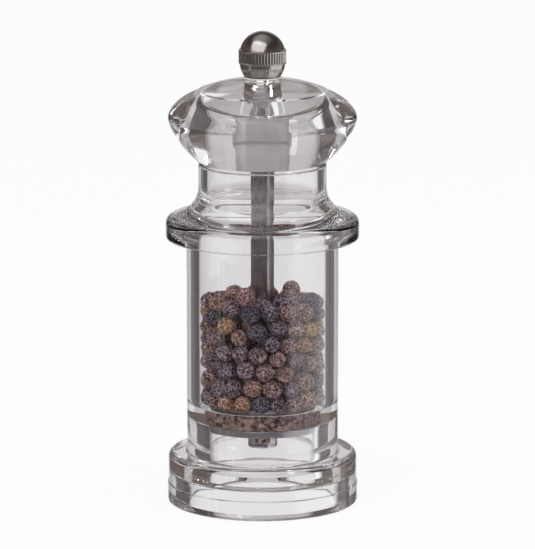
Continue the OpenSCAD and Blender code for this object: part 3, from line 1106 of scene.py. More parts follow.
@dataclass
class Spindle:
    """Drawn square bar with a turned stud above and a turned tail below."""

    bar: SquareBar = field(default_factory=SquareBar)
    bottom_z: float = 23.6
    top_z: float = 118.8
    stud_r: float = 2.5
    stud_top_z: float = 132.1
    tail_r: float = 2.1
    tail_z: float = 17.9
    thread_pitch: float = 0.8
    thread_depth: float = 0.28
    bevel: float = 0.3
    top_bevel: float = 0.4
    levels: int = 20

    def threaded(self, name: str, radius: float, low: float, high: float) -> bpy.types.Object:
        """A turned rod with the grooves of its thread.

        Args:
            name: Name of the piece.
            radius: Outside radius of the thread.
            low: Height of the rod's bottom.
            high: Height of the rod's top.

        Returns:
            The rod.
        """
        plain_end = 0.5
        turns = int((high - low - 2.0 * plain_end) / self.thread_pitch)
        points: list[Point] = [(0.0, low), (radius - self.bevel, low), (radius, low + self.bevel)]
        for i in range(turns):
            z = low + plain_end + i * self.thread_pitch
            points += [(radius, z), (radius - self.thread_depth, z + self.thread_pitch / 2.0)]
        points += [(radius, high - self.bevel), (radius - self.bevel, high), (0.0, high)]
        return MeshMaker.lathe(name, points, steps=48, sharp=50.0)

    def build(self, finishes: Finishes) -> bpy.types.Object:
        """Builds the bar with both threaded ends as one piece.

        Args:
            finishes: Every finish on the mill.

        Returns:
            The piece.
        """
        piece = MeshMaker.prism(
            "square_spindle", self.bar.section(),
            [(self.bottom_z, self.bevel), (self.bottom_z + self.bevel, 0.0)]
            + [(z, 0.0) for z in np.linspace(self.bottom_z + 1.0, self.top_z - 1.0, self.levels)]
            + [(self.top_z - self.top_bevel, 0.0), (self.top_z, self.top_bevel)], self.bar.turn)
        stud = self.threaded("stud", self.stud_r, self.top_z - self.bevel, self.stud_top_z)
        tail = self.threaded("tail", self.tail_r, self.tail_z, self.bottom_z + self.bevel)
        join([piece, stud, tail])
        return finish_piece(piece, finishes.spindle, Body.SPINDLE, Slot.SPINDLE, "spindle")


def join(pieces: Sequence[bpy.types.Object]) -> bpy.types.Object:
    """Joins pieces into the first of them.

    Args:
        pieces: The pieces to join.

    Returns:
        The first piece, with the others in it.
    """
    with bpy.context.temp_override(active_object=pieces[0], object=pieces[0],
                                   selected_objects=list(pieces),
                                   selected_editable_objects=list(pieces)):
        bpy.ops.object.join()
    return pieces[0]


@dataclass
class DriveBush:
    """Clear moulded bush that the spindle's square drives the head through."""

    barrel_r: float = 8.1
    flange_r: float = 8.6
    flange_h: float = 2.1
    spigot_r: float = 4.7
    bottom_z: float = 101.9
    ceiling_z: float = 114.8
    top_z: float = 118.8
    hole_across: float = 5.56
    square: SquareBar = field(default_factory=SquareBar)
    edge: float = 0.25
    bevel: float = 0.1
    seat_gap: float = 0.02
    steps: int = 160

    def outside(self) -> list[Point]:
        """Outline of the bush's outside, from its foot up to the top of its spigot.

        Returns:
            Points from the bottom edge to the top one.
        """
        e, t = self.edge, self.bevel
        flange_z = self.ceiling_z - self.flange_h
        seat_z = self.ceiling_z - self.seat_gap
        points: list[Point] = [(self.barrel_r - e, self.bottom_z), (self.barrel_r, self.bottom_z + e)]
        points += [(self.barrel_r, z) for z in np.linspace(self.bottom_z + 1.0, flange_z - e, 5)]
        points += [(self.flange_r - t, flange_z), (self.flange_r, flange_z + t),
                   (self.flange_r, self.ceiling_z - t), (self.flange_r - t, seat_z),
                   (self.spigot_r + t, seat_z), (self.spigot_r, self.ceiling_z + t),
                   (self.spigot_r, self.top_z - e), (self.spigot_r - e, self.top_z)]
        return points

    def build(self, finishes: Finishes) -> bpy.types.Object:
        """Builds the bush as a turned outside stitched to a square bore.

        Args:
            finishes: Every finish on the mill.

        Returns:
            The piece.
        """
        outside = self.outside()
        angles = [FULL_TURN * i / self.steps for i in range(self.steps)]
        corners = self.square.section(self.hole_across)
        turn = math.radians(self.square.turn)
        bore = [self.bore_point(corners, angle - turn, turn) for angle in angles]
        verts: list[tuple[float, float, float]] = []
        for radius, height in outside:
            verts += [(radius * math.cos(a), radius * math.sin(a), height) for a in angles]
        for height in (self.top_z, self.bottom_z):
            verts += [(x, y, height) for x, y in bore]
        rings = len(outside) + 2
        faces: list[tuple[int, ...]] = []
        for ring in range(rings):
            low, high = ring * self.steps, ((ring + 1) % rings) * self.steps
            for i in range(self.steps):
                j = (i + 1) % self.steps
                faces.append((low + i, low + j, high + j, high + i))
        piece = MeshMaker.build("drive_bush_moulded", verts, faces)
        return finish_piece(piece, finishes.bush, Body.HEAD, Slot.BUSH, "drive_bush")

    @staticmethod
    def bore_point(corners: Sequence[Point], angle: float, turn: float) -> Point:
        """Point of the square bore in a direction, found where a ray crosses its side.

        Args:
            corners: Corners of the bore's section, unturned.
            angle: Direction of the ray in the section's own frame, in radians.
            turn: Turn of the section, in radians.

        Returns:
            The point, turned into the mill's frame.
        """
        dx, dy = math.cos(angle), math.sin(angle)
        best = 0.0
        for (ax, ay), (bx, by) in zip(corners, list(corners[1:]) + [corners[0]]):
            ex, ey = bx - ax, by - ay
            cross = dx * ey - dy * ex
            if abs(cross) < 1e-9:
                continue
            reach = (ax * ey - ay * ex) / cross
            share = (ax * dy - ay * dx) / cross
            if reach > 0.0 and -1e-6 <= share <= 1.0 + 1e-6:
                best = max(best, reach)
        return (best * math.cos(angle + turn), best * math.sin(angle + turn))


@dataclass
class BallKnob:
    """Polished ball nut in two halves round a knurled band, on a very short neck."""

    ball_r: float = 6.65
    lower_z: float = 130.8
    upper_z: float = 133.4
    band_r: float = 6.95
    band_low_z: float = 130.6
    band_high_z: float = 134.7
    neck_r: float = 4.9
    neck_top_z: float = 127.1
    bottom_z: float = 126.7
    bore_r: float = 2.6
    flutes: int = 48
    flute_depth: float = 0.5
    steps_to_a_flute: int = 10
    rib_share: float = 0.97
    land: float = 0.3
    run_out: float = 0.4
    bevel: float = 0.12
    edge: float = 0.03
    inset: float = 0.25

    def fluted(self, radius: float, height: float, angle: float) -> float:
        """Radius of the band with its rounded ribs and round-ended flutes, unchanged elsewhere.

        Args:
            radius: Plain radius of the outline.
            height: Height of the point.
            angle: Angle round the axis, in radians.

        Returns:
            The radius with the flute cut away.
        """
        margin = min(height - self.band_low_z, self.band_high_z - height)
        if radius < self.band_r - 0.08 or margin < self.land:
            return radius
        phase = (angle / FULL_TURN * self.flutes) % 1.0
        across = abs(phase - 0.5) * 2.0 * self.rib_share
        end = min(1.0, (margin - self.land) / self.run_out)
        rounded = 1.0 - (1.0 - end) ** 2
        return radius - self.flute_depth * (1.0 - math.sqrt(1.0 - across ** 2)) * math.sqrt(rounded)

    def outline(self) -> list[Point]:
        """Outline from the neck over the ball and back down the bore.

        Returns:
            The closed outline.
        """
        at_neck = math.degrees(math.asin((self.lower_z - self.neck_top_z) / self.ball_r))
        at_low = math.degrees(math.asin((self.lower_z - self.band_low_z) / self.ball_r))
        at_high = math.degrees(math.asin((self.band_high_z - self.upper_z) / self.ball_r))
        points: list[Point] = [(self.bore_r, self.bottom_z + 0.1), (self.bore_r + 0.1, self.bottom_z),
                               (self.neck_r - 0.15, self.bottom_z),
                               (self.neck_r, self.bottom_z + 0.15),
                               (self.neck_r, self.neck_top_z - 0.05)]
        points += arc((0.0, self.lower_z), self.ball_r, -at_neck, -at_low - 1.0, 18)
        t, e = self.bevel, self.edge
        points += [(self.band_r - t, self.band_low_z), (self.band_r - e, self.band_low_z + e),
                   (self.band_r, self.band_low_z + t)]
        points += [(self.band_r, z) for z in np.linspace(self.band_low_z + self.inset,
                                                         self.band_high_z - self.inset, 25)]
        points += [(self.band_r, self.band_high_z - t), (self.band_r - e, self.band_high_z - e),
                   (self.band_r - t, self.band_high_z)]
        points += arc((0.0, self.upper_z), self.ball_r, at_high + 1.0, 89.0, 26)
        points += [(0.0, self.upper_z + self.ball_r), (0.0, self.upper_z),
                   (self.bore_r, self.upper_z - 0.2)]
        return points

    def build(self, finishes: Finishes) -> bpy.types.Object:
        """Builds the knob and finishes it.

        Args:
            finishes: Every finish on the mill.

        Returns:
            The piece.
        """
        piece = MeshMaker.lathe("ball_knob", self.outline(), self.flutes * self.steps_to_a_flute,
                                self.fluted, sharp=38.0)
        return finish_piece(piece, finishes.knob, Body.KNOB, Slot.KNOB, "knob")


# --------------------------------------------------------------------------
# Grinding set
# --------------------------------------------------------------------------

@dataclass
class GrindingSet:
    """Retaining plate, end nut and spring with modelled detail.

    The rest of the set keeps its CAD shape and only takes its finish here, and
    so do the washers.
    """

    plate_r: float = 15.5
    plate_hole_r: float = 9.7
    plate_low_z: float = 22.3
    plate_high_z: float = 24.37
    plate_edge: float = 0.22
    nut_r: float = 4.3
    nut_low_z: float = 16.5
    nut_high_z: float = 22.5
    spring_r: float = 4.9
    wire_r: float = 0.35
    spring_low_z: float = 31.7
    spring_high_z: float = 37.0
    spring_turns: float = 4.5
    spring_closed: float = 0.12
    wire_sides: int = 10
    turn_steps: int = 36

    def build_plate(self, finishes: Finishes) -> bpy.types.Object:
        """Retaining plate with rolled edges.

        Args:
            finishes: Every finish on the mill.

        Returns:
            The piece.
        """
        e = self.plate_edge
        points = arc((self.plate_hole_r + e, self.plate_low_z + e), e, 180, 270, 3)
        points += arc((self.plate_r - e, self.plate_low_z + e), e, 270, 360, 4)
        points += arc((self.plate_r - e, self.plate_high_z - e), e, 0, 90, 4)
        points += arc((self.plate_hole_r + e, self.plate_high_z - e), e, 90, 180, 3)
        piece = MeshMaker.lathe("retaining_plate_rolled", points, steps=128)
        return finish_piece(piece, finishes.plate, Body.MILL, Slot.PLATE, "retaining_plate")

    def build_nut(self, finishes: Finishes) -> bpy.types.Object:
        """Round end nut with a bevel, a turned groove and a slotted face.

        Args:
            finishes: Every finish on the mill.

        Returns:
            The piece.
        """
        r, low, high, bevel, hole_r = self.nut_r, self.nut_low_z, self.nut_high_z, 0.25, 2.2
        points: list[Point] = [(0.0, low + 0.25), (r - 1.7, low + 0.2), (r - 1.4, low),
                               (r - 0.45, low), (r - 0.12, low + 0.12), (r, low + 0.45),
                               (r, low + 0.9), (r - 0.14, low + 1.02), (r, low + 1.14)]
        points += [(r, z) for z in np.linspace(low + 1.6, high - 0.6, 6)]
        points += [(r, high - bevel), (r - bevel, high), (hole_r + 0.1, high), (hole_r, high - 0.1),
                   (hole_r, low + 1.5), (0.0, low + 1.4)]
        piece = MeshMaker.lathe("end_nut_turned", points, steps=96)
        return finish_piece(piece, finishes.fastener, Body.SPINDLE, Slot.FASTENER, "end_nut")

    def build_spring(self, finishes: Finishes) -> bpy.types.Object:
        """Coil spring with closed ends, swept as one tube.

        Args:
            finishes: Every finish on the mill.

        Returns:
            The piece.
        """
        steps, sides = int(self.spring_turns * self.turn_steps), self.wire_sides
        low = self.spring_low_z + self.wire_r
        high = self.spring_high_z - self.wire_r
        open_share = 1.0 - 2.0 * self.spring_closed
        verts: list[tuple[float, ...]] = []
        faces: list[tuple[int, ...]] = []
        for i in range(steps + 1):
            share = i / steps
            angle = FULL_TURN * self.spring_turns * share
            eased = min(max((share - self.spring_closed) / open_share, 0.0), 1.0)
            centre = Vector((self.spring_r * math.cos(angle), self.spring_r * math.sin(angle),
                             low + (high - low) * eased))
            out = Vector((math.cos(angle), math.sin(angle), 0.0))
            for k in range(sides):
                side = FULL_TURN * k / sides
                verts.append(tuple(centre + out * self.wire_r * math.cos(side)
                                   + Vector((0.0, 0.0, self.wire_r * math.sin(side)))))
        for i in range(steps):
            here, there = i * sides, (i + 1) * sides
            for k in range(sides):
                m = (k + 1) % sides
                faces.append((here + k, here + m, there + m, there + k))
        faces.append(tuple(range(sides)))
        faces.append(tuple(range(steps * sides + sides - 1, steps * sides - 1, -1)))
        piece = MeshMaker.build("coil_spring", verts, faces)
        return finish_between(piece, finishes.spring, Body.SPINDLE, Body.TURNER, self.spring_low_z,
                              self.spring_high_z, Slot.SPRING, "spring")

    def build(self, finishes: Finishes) -> None:
        """Builds the detailed pieces and dresses the others.

        Args:
            finishes: Every finish on the mill.
        """
        self.build_plate(finishes)
        self.build_nut(finishes)
        self.build_spring(finishes)
        dress_node("grinding_ring", finishes.grinder)
        dress_node("grinding_cone", finishes.grinder)
        dress_node("bridge", finishes.plate)
        dress_node("bridge_screws", finishes.grinder)
        dress_node("lock_washer", finishes.fastener)
        dress_node("spring_seat", finishes.fastener)
        dress_node("thrust_washer", finishes.nylon)
        dress_node("knob_washer", finishes.nylon)


# --------------------------------------------------------------------------
# Peppercorns
# --------------------------------------------------------------------------

@dataclass
class PepperFill:
    """Loose peppercorns settled in the chamber round the spindle."""

    count: int = 244
    seed: int = 11
    wall_r: float = 18.55
    floor_z: float = 29.55
    top_z: float = 66.0
    spindle_r: float = 3.9
    mech_r: float = 6.6
    mech_z: float = 39.6
    bridge_half_w: float = 3.7
    bridge_half_l: float = 10.6
    foot_half_l: float = 15.6
    foot_h: float = 1.4
    smallest: float = 2.4
    largest: float = 2.95
    clearance: float = 3.0
    pour_height: float = 26.0
    shapes: int = 14
    rounds: int = 900
    falling: float = 0.75
    fall: float = 0.16
    last_fall: float = 0.02
    outward: float = 1.0006
    parting: float = 0.7
    press: float = 0.985
    warp_scale: float = 1.6
    warp: float = 0.45
    coarse_scale: float = 2.3
    coarse_steepness: float = 1.9
    coarse_fold: float = 0.72
    fine_scale: float = 4.6
    fine_steepness: float = 2.2
    fine_fold: float = 0.28
    mean_r: float = 0.885
    crest: float = 0.115
    hollow: float = 0.06
    lump_scale: float = 1.3
    lump: float = 0.05
    black_below: float = 0.3
    brown_below: float = 0.62

    def settle(self) -> tuple[np.ndarray, np.ndarray]:
        """Drops spheres into the chamber and lets them press apart.

        Returns:
            The centre and the radius of each berry, in millimetres.
        """
        rng = np.random.default_rng(self.seed)
        radius = rng.uniform(self.smallest, self.largest, self.count)
        angle = rng.uniform(0.0, FULL_TURN, self.count)
        inner, outer = self.spindle_r + self.clearance, self.wall_r - self.clearance
        out = np.sqrt(rng.uniform(inner ** 2, outer ** 2, self.count))
        height = np.linspace(self.floor_z + self.clearance, self.top_z + self.pour_height, self.count)
        place = np.stack([out * np.cos(angle), out * np.sin(angle), height], axis=1)
        for step in range(self.rounds):
            place[:, 2] -= self.fall if step < self.rounds * self.falling else self.last_fall
            place[:, :2] *= self.outward
            for _ in range(3):
                self.part(place, radius)
                self.contain(place, radius)
        return place, radius

    def part(self, place: np.ndarray, radius: np.ndarray) -> None:
        """Moves overlapping spheres apart, half each.

        Args:
            place: Centres of the spheres, changed in place.
            radius: Their radii.
        """
        gap = place[:, None, :] - place[None, :, :]
        apart = np.sqrt((gap ** 2).sum(axis=2))
        np.fill_diagonal(apart, 1e3)
        need = (radius[:, None] + radius[None, :]) * self.press - apart
        push = np.where(need > 0.0, need / (2.0 * np.maximum(apart, 1e-6)), 0.0)
        place += (gap * push[:, :, None]).sum(axis=1) * self.parting

    def contain(self, place: np.ndarray, radius: np.ndarray) -> None:
        """Keeps the spheres inside the chamber and off what stands in it.

        Args:
            place: Centres of the spheres, changed in place.
            radius: Their radii.
        """
        out = np.hypot(place[:, 0], place[:, 1])
        safe = np.maximum(out, 1e-6)
        limit = np.minimum(out, self.wall_r - radius)
        inner = np.where(place[:, 2] - radius * 0.6 < self.mech_z, self.mech_r, self.spindle_r)
        limit = np.maximum(limit, inner + radius * 0.96)
        place[:, 0] *= limit / safe
        place[:, 1] *= limit / safe
        in_line = np.abs(place[:, 0]) < self.bridge_half_w
        on_bridge = in_line & (np.abs(place[:, 1]) < self.bridge_half_l)
        on_foot = in_line & (np.abs(place[:, 1]) < self.foot_half_l) & ~on_bridge
        low = np.where(on_bridge, self.mech_z, self.floor_z)
        low = np.where(on_foot, self.floor_z + self.foot_h, low)
        place[:, 2] = np.maximum(place[:, 2], low + radius)

    def berry_shape(self, index: int) -> tuple[np.ndarray, np.ndarray, list[tuple[int, ...]]]:
        """One dried berry: a sphere drawn in along a net of folds.

        Args:
            index: Which of the shapes to make.

        Returns:
            Its vertices on a unit sphere, the height of its wrinkles from 0 to 1,
            and its faces.
        """
        work = bmesh.new()
        bmesh.ops.create_icosphere(work, subdivisions=4, radius=1.0)
        offset = Vector((index * 7.3, index * 3.1, index * 5.7))
        verts: list[Vector] = []
        ridges: list[float] = []
        for v in work.verts:
            direction = v.co.normalized()
            warp = noise.noise_vector(direction * self.warp_scale + offset) * self.warp
            net = self.fold_edge(direction * self.coarse_scale + warp + offset, self.coarse_steepness)
            small = self.fold_edge(direction * self.fine_scale + warp * 1.5 - offset,
                                   self.fine_steepness)
            ridge = 1.0 - (self.coarse_fold * net ** 0.7 + self.fine_fold * small ** 0.8)
            lump = noise.noise(direction * self.lump_scale - offset)
            r = self.mean_r + self.crest * ridge - self.hollow * (1.0 - ridge) + self.lump * lump
            verts.append(direction * min(r, 1.0))
            ridges.append(ridge)
        faces = [tuple(v.index for v in f.verts) for f in work.faces]
        work.free()
        return np.array([tuple(v) for v in verts]), np.array(ridges), faces

    @staticmethod
    def fold_edge(where: Vector, steepness: float) -> float:
        """How far a place is from the edges of a cell net.

        Args:
            where: The place.
            steepness: Rise away from the edges.

        Returns:
            0 on an edge, up to 1 inside a cell.
        """
        nearest = noise.voronoi(where, distance_metric="DISTANCE")[0]
        return min(1.0, (nearest[1] - nearest[0]) * steepness)

    def build(self, finishes: Finishes) -> list[bpy.types.Object]:
        """Builds the berries in three pieces, by how ripe they were dried.

        Args:
            finishes: Every finish on the mill.

        Returns:
            The three pieces.
        """
        place, radius = self.settle()
        rng = np.random.default_rng(self.seed + 1)
        # the noise that bends the folds is otherwise seeded by the clock
        noise.seed_set(self.seed)
        shapes = [self.berry_shape(i) for i in range(self.shapes)]
        tone = np.clip(rng.beta(1.5, 2.6, self.count) * 1.05, 0.0, 1.0)
        black, russet = tone < self.black_below, tone >= self.brown_below
        groups = {"peppercorns_black": black, "peppercorns_brown": ~black & ~russet,
                  "peppercorns_russet": russet}
        order = rng.integers(0, self.shapes, self.count)
        spins = [Matrix.Rotation(a, 3, Vector(axis)) for a, axis in
                 zip(rng.uniform(0.0, FULL_TURN, self.count), rng.normal(size=(self.count, 3)))]
        pieces = []
        for name, chosen in groups.items():
            verts, faces, tones, ridges = [], [], [], []
            start = 0
            for k in np.flatnonzero(chosen):
                shape, ridge, shape_faces = shapes[order[k]]
                verts.append(shape @ np.array(spins[k]).T * radius[k] + place[k])
                faces += [tuple(start + i for i in f) for f in shape_faces]
                tones.append(np.full(len(shape), tone[k]))
                ridges.append(ridge)
                start += len(shape)
            piece = MeshMaker.build(name, np.concatenate(verts), faces, sharp=180.0)
            self.store(piece, "tone", np.concatenate(tones))
            self.store(piece, "ridge", np.concatenate(ridges))
            pieces.append(finish_piece(piece, finishes.pepper, Body.MILL, Slot.PEPPER, "peppercorns"))
        return pieces

    @staticmethod
    def store(piece: bpy.types.Object, name: str, values: np.ndarray) -> None:
        """Stores one value for each vertex on the mesh."""
        layer = piece.data.attributes.new(name, "FLOAT", "POINT")
        layer.data.foreach_set("value", values.astype(np.float32))


# --------------------------------------------------------------------------
# Studio
# --------------------------------------------------------------------------

@dataclass(frozen=True)
class Surround:
    """White backdrop between dark flags, which draw the edges of clear plastic.

    The camera sees only the backdrop. Light that goes straight through the
    mill finds the backdrop nearly all round; light that is mirrored finds it
    behind the mill and on a low panel at the right, and dark elsewhere.

    Each edge is laid over a direction: `z` runs from -1 straight down to 1
    straight up, `x` from the left to the right, and the share of the half turn
    away from the back is 0 behind the mill and 1 in front of it.
    """

    # flags between the panels, from straight down to straight up
    flag_tones: Stops = ((0.0, (0.3, 0.27, 0.26)), (0.34, (0.13, 0.115, 0.118)),
                         (0.5, (0.085, 0.074, 0.078)), (0.62, (0.16, 0.125, 0.11)),
                         (0.76, (0.07, 0.056, 0.052)), (0.9, (0.06, 0.05, 0.048)),
                         (1.0, (0.2, 0.19, 0.19)))
    left_half: Edge = Edge(-0.02, 0.02, 1.0, 0.0)
    right_half: Edge = Edge(-0.02, 0.02)
    # band behind the mill, greyer above the table's edge and patchy there
    band_width: Edge = Edge(0.095, 0.128, 1.0, 0.0)
    band_tone: Edge = Edge(-0.1, 0.1, 0.64, 0.46)
    band_top: Edge = Edge(0.38, 0.62, 1.0, 0.0)
    table_edge: Edge = Edge(-0.14, 0.0)
    patch_scale: float = 4.6
    patch_detail: float = 3.0
    patches: Edge = Edge(0.36, 0.62, 0.62, 1.0)
    # low panel at the right and narrow strip at the left
    panel_start: Edge = Edge(0.28, 0.36)
    panel_end: Edge = Edge(0.72, 0.8, 1.0, 0.0)
    strip_start: Edge = Edge(0.6, 0.605)
    strip_end: Edge = Edge(0.628, 0.633, 1.0, 0.0)
    panel_top: Edge = Edge(0.0, 0.1, 1.0, 0.0)
    # table below and panel overhead, which is weaker to the right
    table: Edge = Edge(-0.66, -0.42, 0.34, 0.0)
    overhead: Edge = Edge(0.72, 0.9, 0.0, 0.34)
    overhead_right: Edge = Edge(-0.2, 0.45, 1.0, 0.3)
    # what is seen straight through: soft flags on the diagonals
    diagonals: Edge = Edge(0.66, 0.86, 0.84, 0.4)
    through_low: Edge = Edge(-0.42, -0.24, 0.66, 1.0)
    through_middle: Edge = Edge(-0.1, 0.16, 1.0, 0.62)
    through_high: Edge = Edge(0.4, 0.8, 1.0, 0.4)
    # light on plain surfaces, and on the pieces inside from the upper left front
    open_light: float = 0.62
    inner_way: tuple[float, float, float] = (-0.42, -0.55, 0.72)
    inner_light: Edge = Edge(-0.45, 0.5, 0.2, 1.0)
    inner_gain: float = 0.4

    def build(self) -> None:
        """Builds the surround as the scene's world."""
        world = bpy.data.worlds.new("studio")
        bpy.context.scene.world = world
        world.use_nodes = True
        board = NodeBoard(world.node_tree)
        board.tree.nodes.clear()
        toward = board.add("TexCoord").outputs["Generated"]
        split = board.add("SeparateXYZ")
        board.link(toward, split.inputs["Vector"])
        x, y, z = split.outputs
        azimuth = board.math("ARCTAN2", x, y)
        path = board.add("LightPath").outputs
        bounced = board.math("MINIMUM", path["Glossy Depth"], 1.0)
        panel = board.blend(bounced, self.through(board, azimuth, z),
                            self.mirrored(board, toward, azimuth, x, z))
        seen = board.math("MAXIMUM", path["Is Glossy Ray"], path["Is Transmission Ray"])
        share = board.combine("ADD", board.math("MULTIPLY", seen, panel), path["Is Camera Ray"],
                              board.math("MULTIPLY", path["Is Diffuse Ray"], self.open_light))
        share = board.math("MINIMUM", share, 1.0)
        # light that a plain surface inside the plastic gathers through it
        inside = board.math("MULTIPLY", board.math("MINIMUM", path["Diffuse Depth"], 1.0),
                            path["Is Transmission Ray"])
        share = board.blend(inside, share, self.inner(board, x, y, z))
        height = board.math("MULTIPLY_ADD", z, 0.5, 0.5)
        surround = board.add("Background")
        board.link(board.layer(share, board.ramp(height, self.flag_tones), WHITE),
                   surround.inputs["Color"])
        board.link(board.math("MULTIPLY_ADD", inside, self.inner_gain, 1.0),
                   surround.inputs["Strength"])
        output = board.add("OutputWorld")
        board.link(surround.outputs["Background"], output.inputs["Surface"])

    def mirrored(self, board: NodeBoard, toward: Socket, azimuth: Socket, x: Socket,
                 z: Socket) -> Socket:
        """Share of white that mirrored light finds.

        Args:
            board: The world's nodes.
            toward: Direction of the light.
            azimuth: Its angle round from the back, in radians.
            x: Its part to the right.
            z: Its part upwards.

        Returns:
            The share, 1 on a full panel.
        """
        from_back = board.math("DIVIDE", board.math("ABSOLUTE", azimuth), math.pi)
        uneven = board.add("TexNoise")
        board.link(toward, uneven.inputs["Vector"])
        uneven.inputs["Scale"].default_value = self.patch_scale
        uneven.inputs["Detail"].default_value = self.patch_detail
        below_table = board.math("SUBTRACT", 1.0, board.fade(z, self.table_edge))
        patchy = board.math("MAXIMUM", board.fade(uneven.outputs["Fac"], self.patches), below_table)
        behind = board.combine("MULTIPLY", board.fade(from_back, self.band_width),
                               board.fade(z, self.band_tone), board.fade(z, self.band_top), patchy)
        panel = board.combine("MULTIPLY", board.fade(from_back, self.panel_start),
                              board.fade(from_back, self.panel_end), board.fade(x, self.right_half))
        strip = board.combine("MULTIPLY", board.fade(from_back, self.strip_start),
                              board.fade(from_back, self.strip_end), board.fade(x, self.left_half))
        side = board.math("MULTIPLY", board.math("MAXIMUM", panel, strip),
                          board.fade(z, self.panel_top))
        overhead = board.math("MULTIPLY", board.fade(z, self.overhead),
                              board.fade(x, self.overhead_right))
        return board.combine("MAXIMUM", behind, side, board.fade(z, self.table), overhead)

    def through(self, board: NodeBoard, azimuth: Socket, z: Socket) -> Socket:
        """Share of white that light finds when it only passed through the plastic.

        Args:
            board: The world's nodes.
            azimuth: Angle of the light round from the back, in radians.
            z: Its part upwards.

        Returns:
            The share.
        """
        eighth = math.pi / 4.0
        folded = board.math("DIVIDE", board.math("PINGPONG", azimuth, eighth), eighth)
        return board.combine("MULTIPLY", board.fade(folded, self.diagonals),
                             board.fade(z, self.through_low), board.fade(z, self.through_middle),
                             board.fade(z, self.through_high))

    def inner(self, board: NodeBoard, x: Socket, y: Socket, z: Socket) -> Socket:
        """Share of white that lights the pieces inside, most from the upper left front.

        Args:
            board: The world's nodes.
            x: Part of the light's direction to the right.
            y: Its part to the back.
            z: Its part upwards.

        Returns:
            The share.
        """
        across, back, up = self.inner_way
        key = board.math("MULTIPLY_ADD", y, back, board.math("MULTIPLY", x, across))
        return board.fade(board.math("MULTIPLY_ADD", z, up, key), self.inner_light)


@dataclass(frozen=True)
class SoftLamp:
    """Rectangular soft lamp aimed at the middle of the mill, with its sizes in metres."""

    name: str
    place: tuple[float, float, float]
    size: tuple[float, float]
    watts: float
    mirrored: bool = True
    aim: tuple[float, float, float] = (0.0, 0.0, 0.08)

    def build(self) -> bpy.types.Object:
        """Hangs the lamp.

        Returns:
            The lamp.
        """
        data = bpy.data.lights.new(self.name, "AREA")
        data.shape = "RECTANGLE"
        data.size, data.size_y = self.size
        data.energy = self.watts
        lamp = bpy.data.objects.new(self.name, data)
        bpy.context.scene.collection.objects.link(lamp)
        lamp.location = self.place
        away = Vector(self.place) - Vector(self.aim)
        lamp.rotation_euler = (-away).to_track_quat("-Z", "Y").to_euler()
        lamp.visible_glossy = self.mirrored
        return lamp


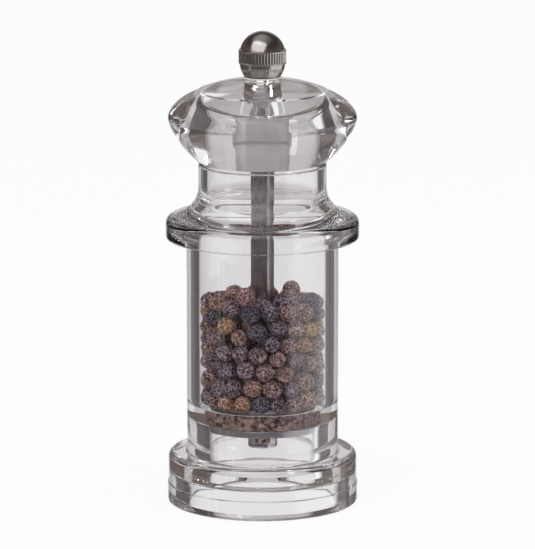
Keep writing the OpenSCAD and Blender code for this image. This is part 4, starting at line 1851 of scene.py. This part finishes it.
@dataclass
class Studio:
    """Pale floor, surround, soft lamps and the camera, with sizes in metres."""

    image_w: int = 535
    image_h: int = 549
    distance: float = 1.336
    elevation: float = 11.75
    aim: tuple[float, float, float] = (0.00147, 0.0, 0.0677)
    pixels_per_mm: float = 3.40
    sensor_mm: float = 36.0
    floor_half: float = 1.6
    floor_z: float = -0.0002
    floor_colour: tuple[float, float, float, float] = (0.95, 0.95, 0.95, 1.0)
    floor_glow: float = 0.9
    clear_bounces: int = 28
    mirror_bounces: int = 20
    transparent_bounces: int = 16
    lamps: tuple[SoftLamp, ...] = (
        SoftLamp("key_left", (-0.36, -0.72, 0.92), (1.5, 1.1), 6.4),
        SoftLamp("fill_right", (0.85, -0.55, 0.55), (0.25, 0.6), 2.6, mirrored=False))

    def build_camera(self) -> bpy.types.Object:
        """Long-lens camera a little above the mill.

        Returns:
            The camera.
        """
        data = bpy.data.cameras.new("camera")
        data.sensor_width = self.sensor_mm
        focal_px = self.pixels_per_mm * self.distance / MM
        data.lens = focal_px * self.sensor_mm / max(self.image_w, self.image_h)
        data.clip_start = 0.05
        camera = bpy.data.objects.new("camera", data)
        bpy.context.scene.collection.objects.link(camera)
        lift = math.radians(self.elevation)
        back = Vector((0.0, -math.cos(lift), math.sin(lift)))
        camera.location = Vector(self.aim) + back * self.distance
        camera.rotation_euler = (-back).to_track_quat("-Z", "Y").to_euler()
        bpy.context.scene.camera = camera
        return camera

    def build_floor(self) -> bpy.types.Object:
        """White floor that keeps a soft shadow; clear plastic looks past it.

        Returns:
            The floor.
        """
        mesh = bpy.data.meshes.new("floor")
        half, z = self.floor_half, self.floor_z
        mesh.from_pydata([(-half, -half, z), (half, -half, z), (half, half, z), (-half, half, z)],
                         [], [(0, 1, 2, 3)])
        floor = bpy.data.objects.new("floor", mesh)
        bpy.context.scene.collection.objects.link(floor)
        mesh.materials.append(self.floor_material())
        floor.visible_transmission = False
        floor.visible_glossy = False
        return floor

    def floor_material(self) -> bpy.types.Material:
        """Matt white that the camera sees nearly as plain white, with the shadow left in.

        Returns:
            The material.
        """
        shader = Shader("floor_white")
        shader.set(Base_Color=self.floor_colour, Roughness=0.9, Specular_IOR_Level=0.1)
        glow = shader.add("Emission")
        glow.inputs["Color"].default_value = WHITE
        camera_ray = shader.add("LightPath").outputs["Is Camera Ray"]
        mix = shader.add("MixShader")
        shader.link(shader.math("MULTIPLY", camera_ray, self.floor_glow), mix.inputs["Fac"])
        shader.link(shader.surface.outputs["BSDF"], mix.inputs[1])
        shader.link(glow.outputs["Emission"], mix.inputs[2])
        shader.link(mix.outputs["Shader"], shader.output.inputs["Surface"])
        return shader.material

    def build(self) -> None:
        """Builds the camera, the surround, the floor and the lamps."""
        self.build_camera()
        Surround().build()
        self.build_floor()
        for lamp in self.lamps:
            lamp.build()
        scene = bpy.context.scene
        scene.view_settings.view_transform = "Standard"
        scene.cycles.max_bounces = self.clear_bounces
        scene.cycles.transmission_bounces = self.clear_bounces
        scene.cycles.glossy_bounces = self.mirror_bounces
        scene.cycles.transparent_max_bounces = self.transparent_bounces
        log.info("studio: camera, surround, floor and %d lamps", len(self.lamps))


def main() -> None:
    """Builds the mill piece by piece, then its studio."""
    logging.basicConfig(level=logging.INFO, format="%(name)s: %(message)s")
    Studio().build()
    finishes = Finishes.make()
    AcrylicBody().build(finishes)
    AcrylicHead().build(finishes)
    DriveBush().build(finishes)
    BallKnob().build(finishes)
    Spindle().build(finishes)
    GrindingSet().build(finishes)
    PepperFill().build(finishes)


if __name__ == "__main__":
    main()
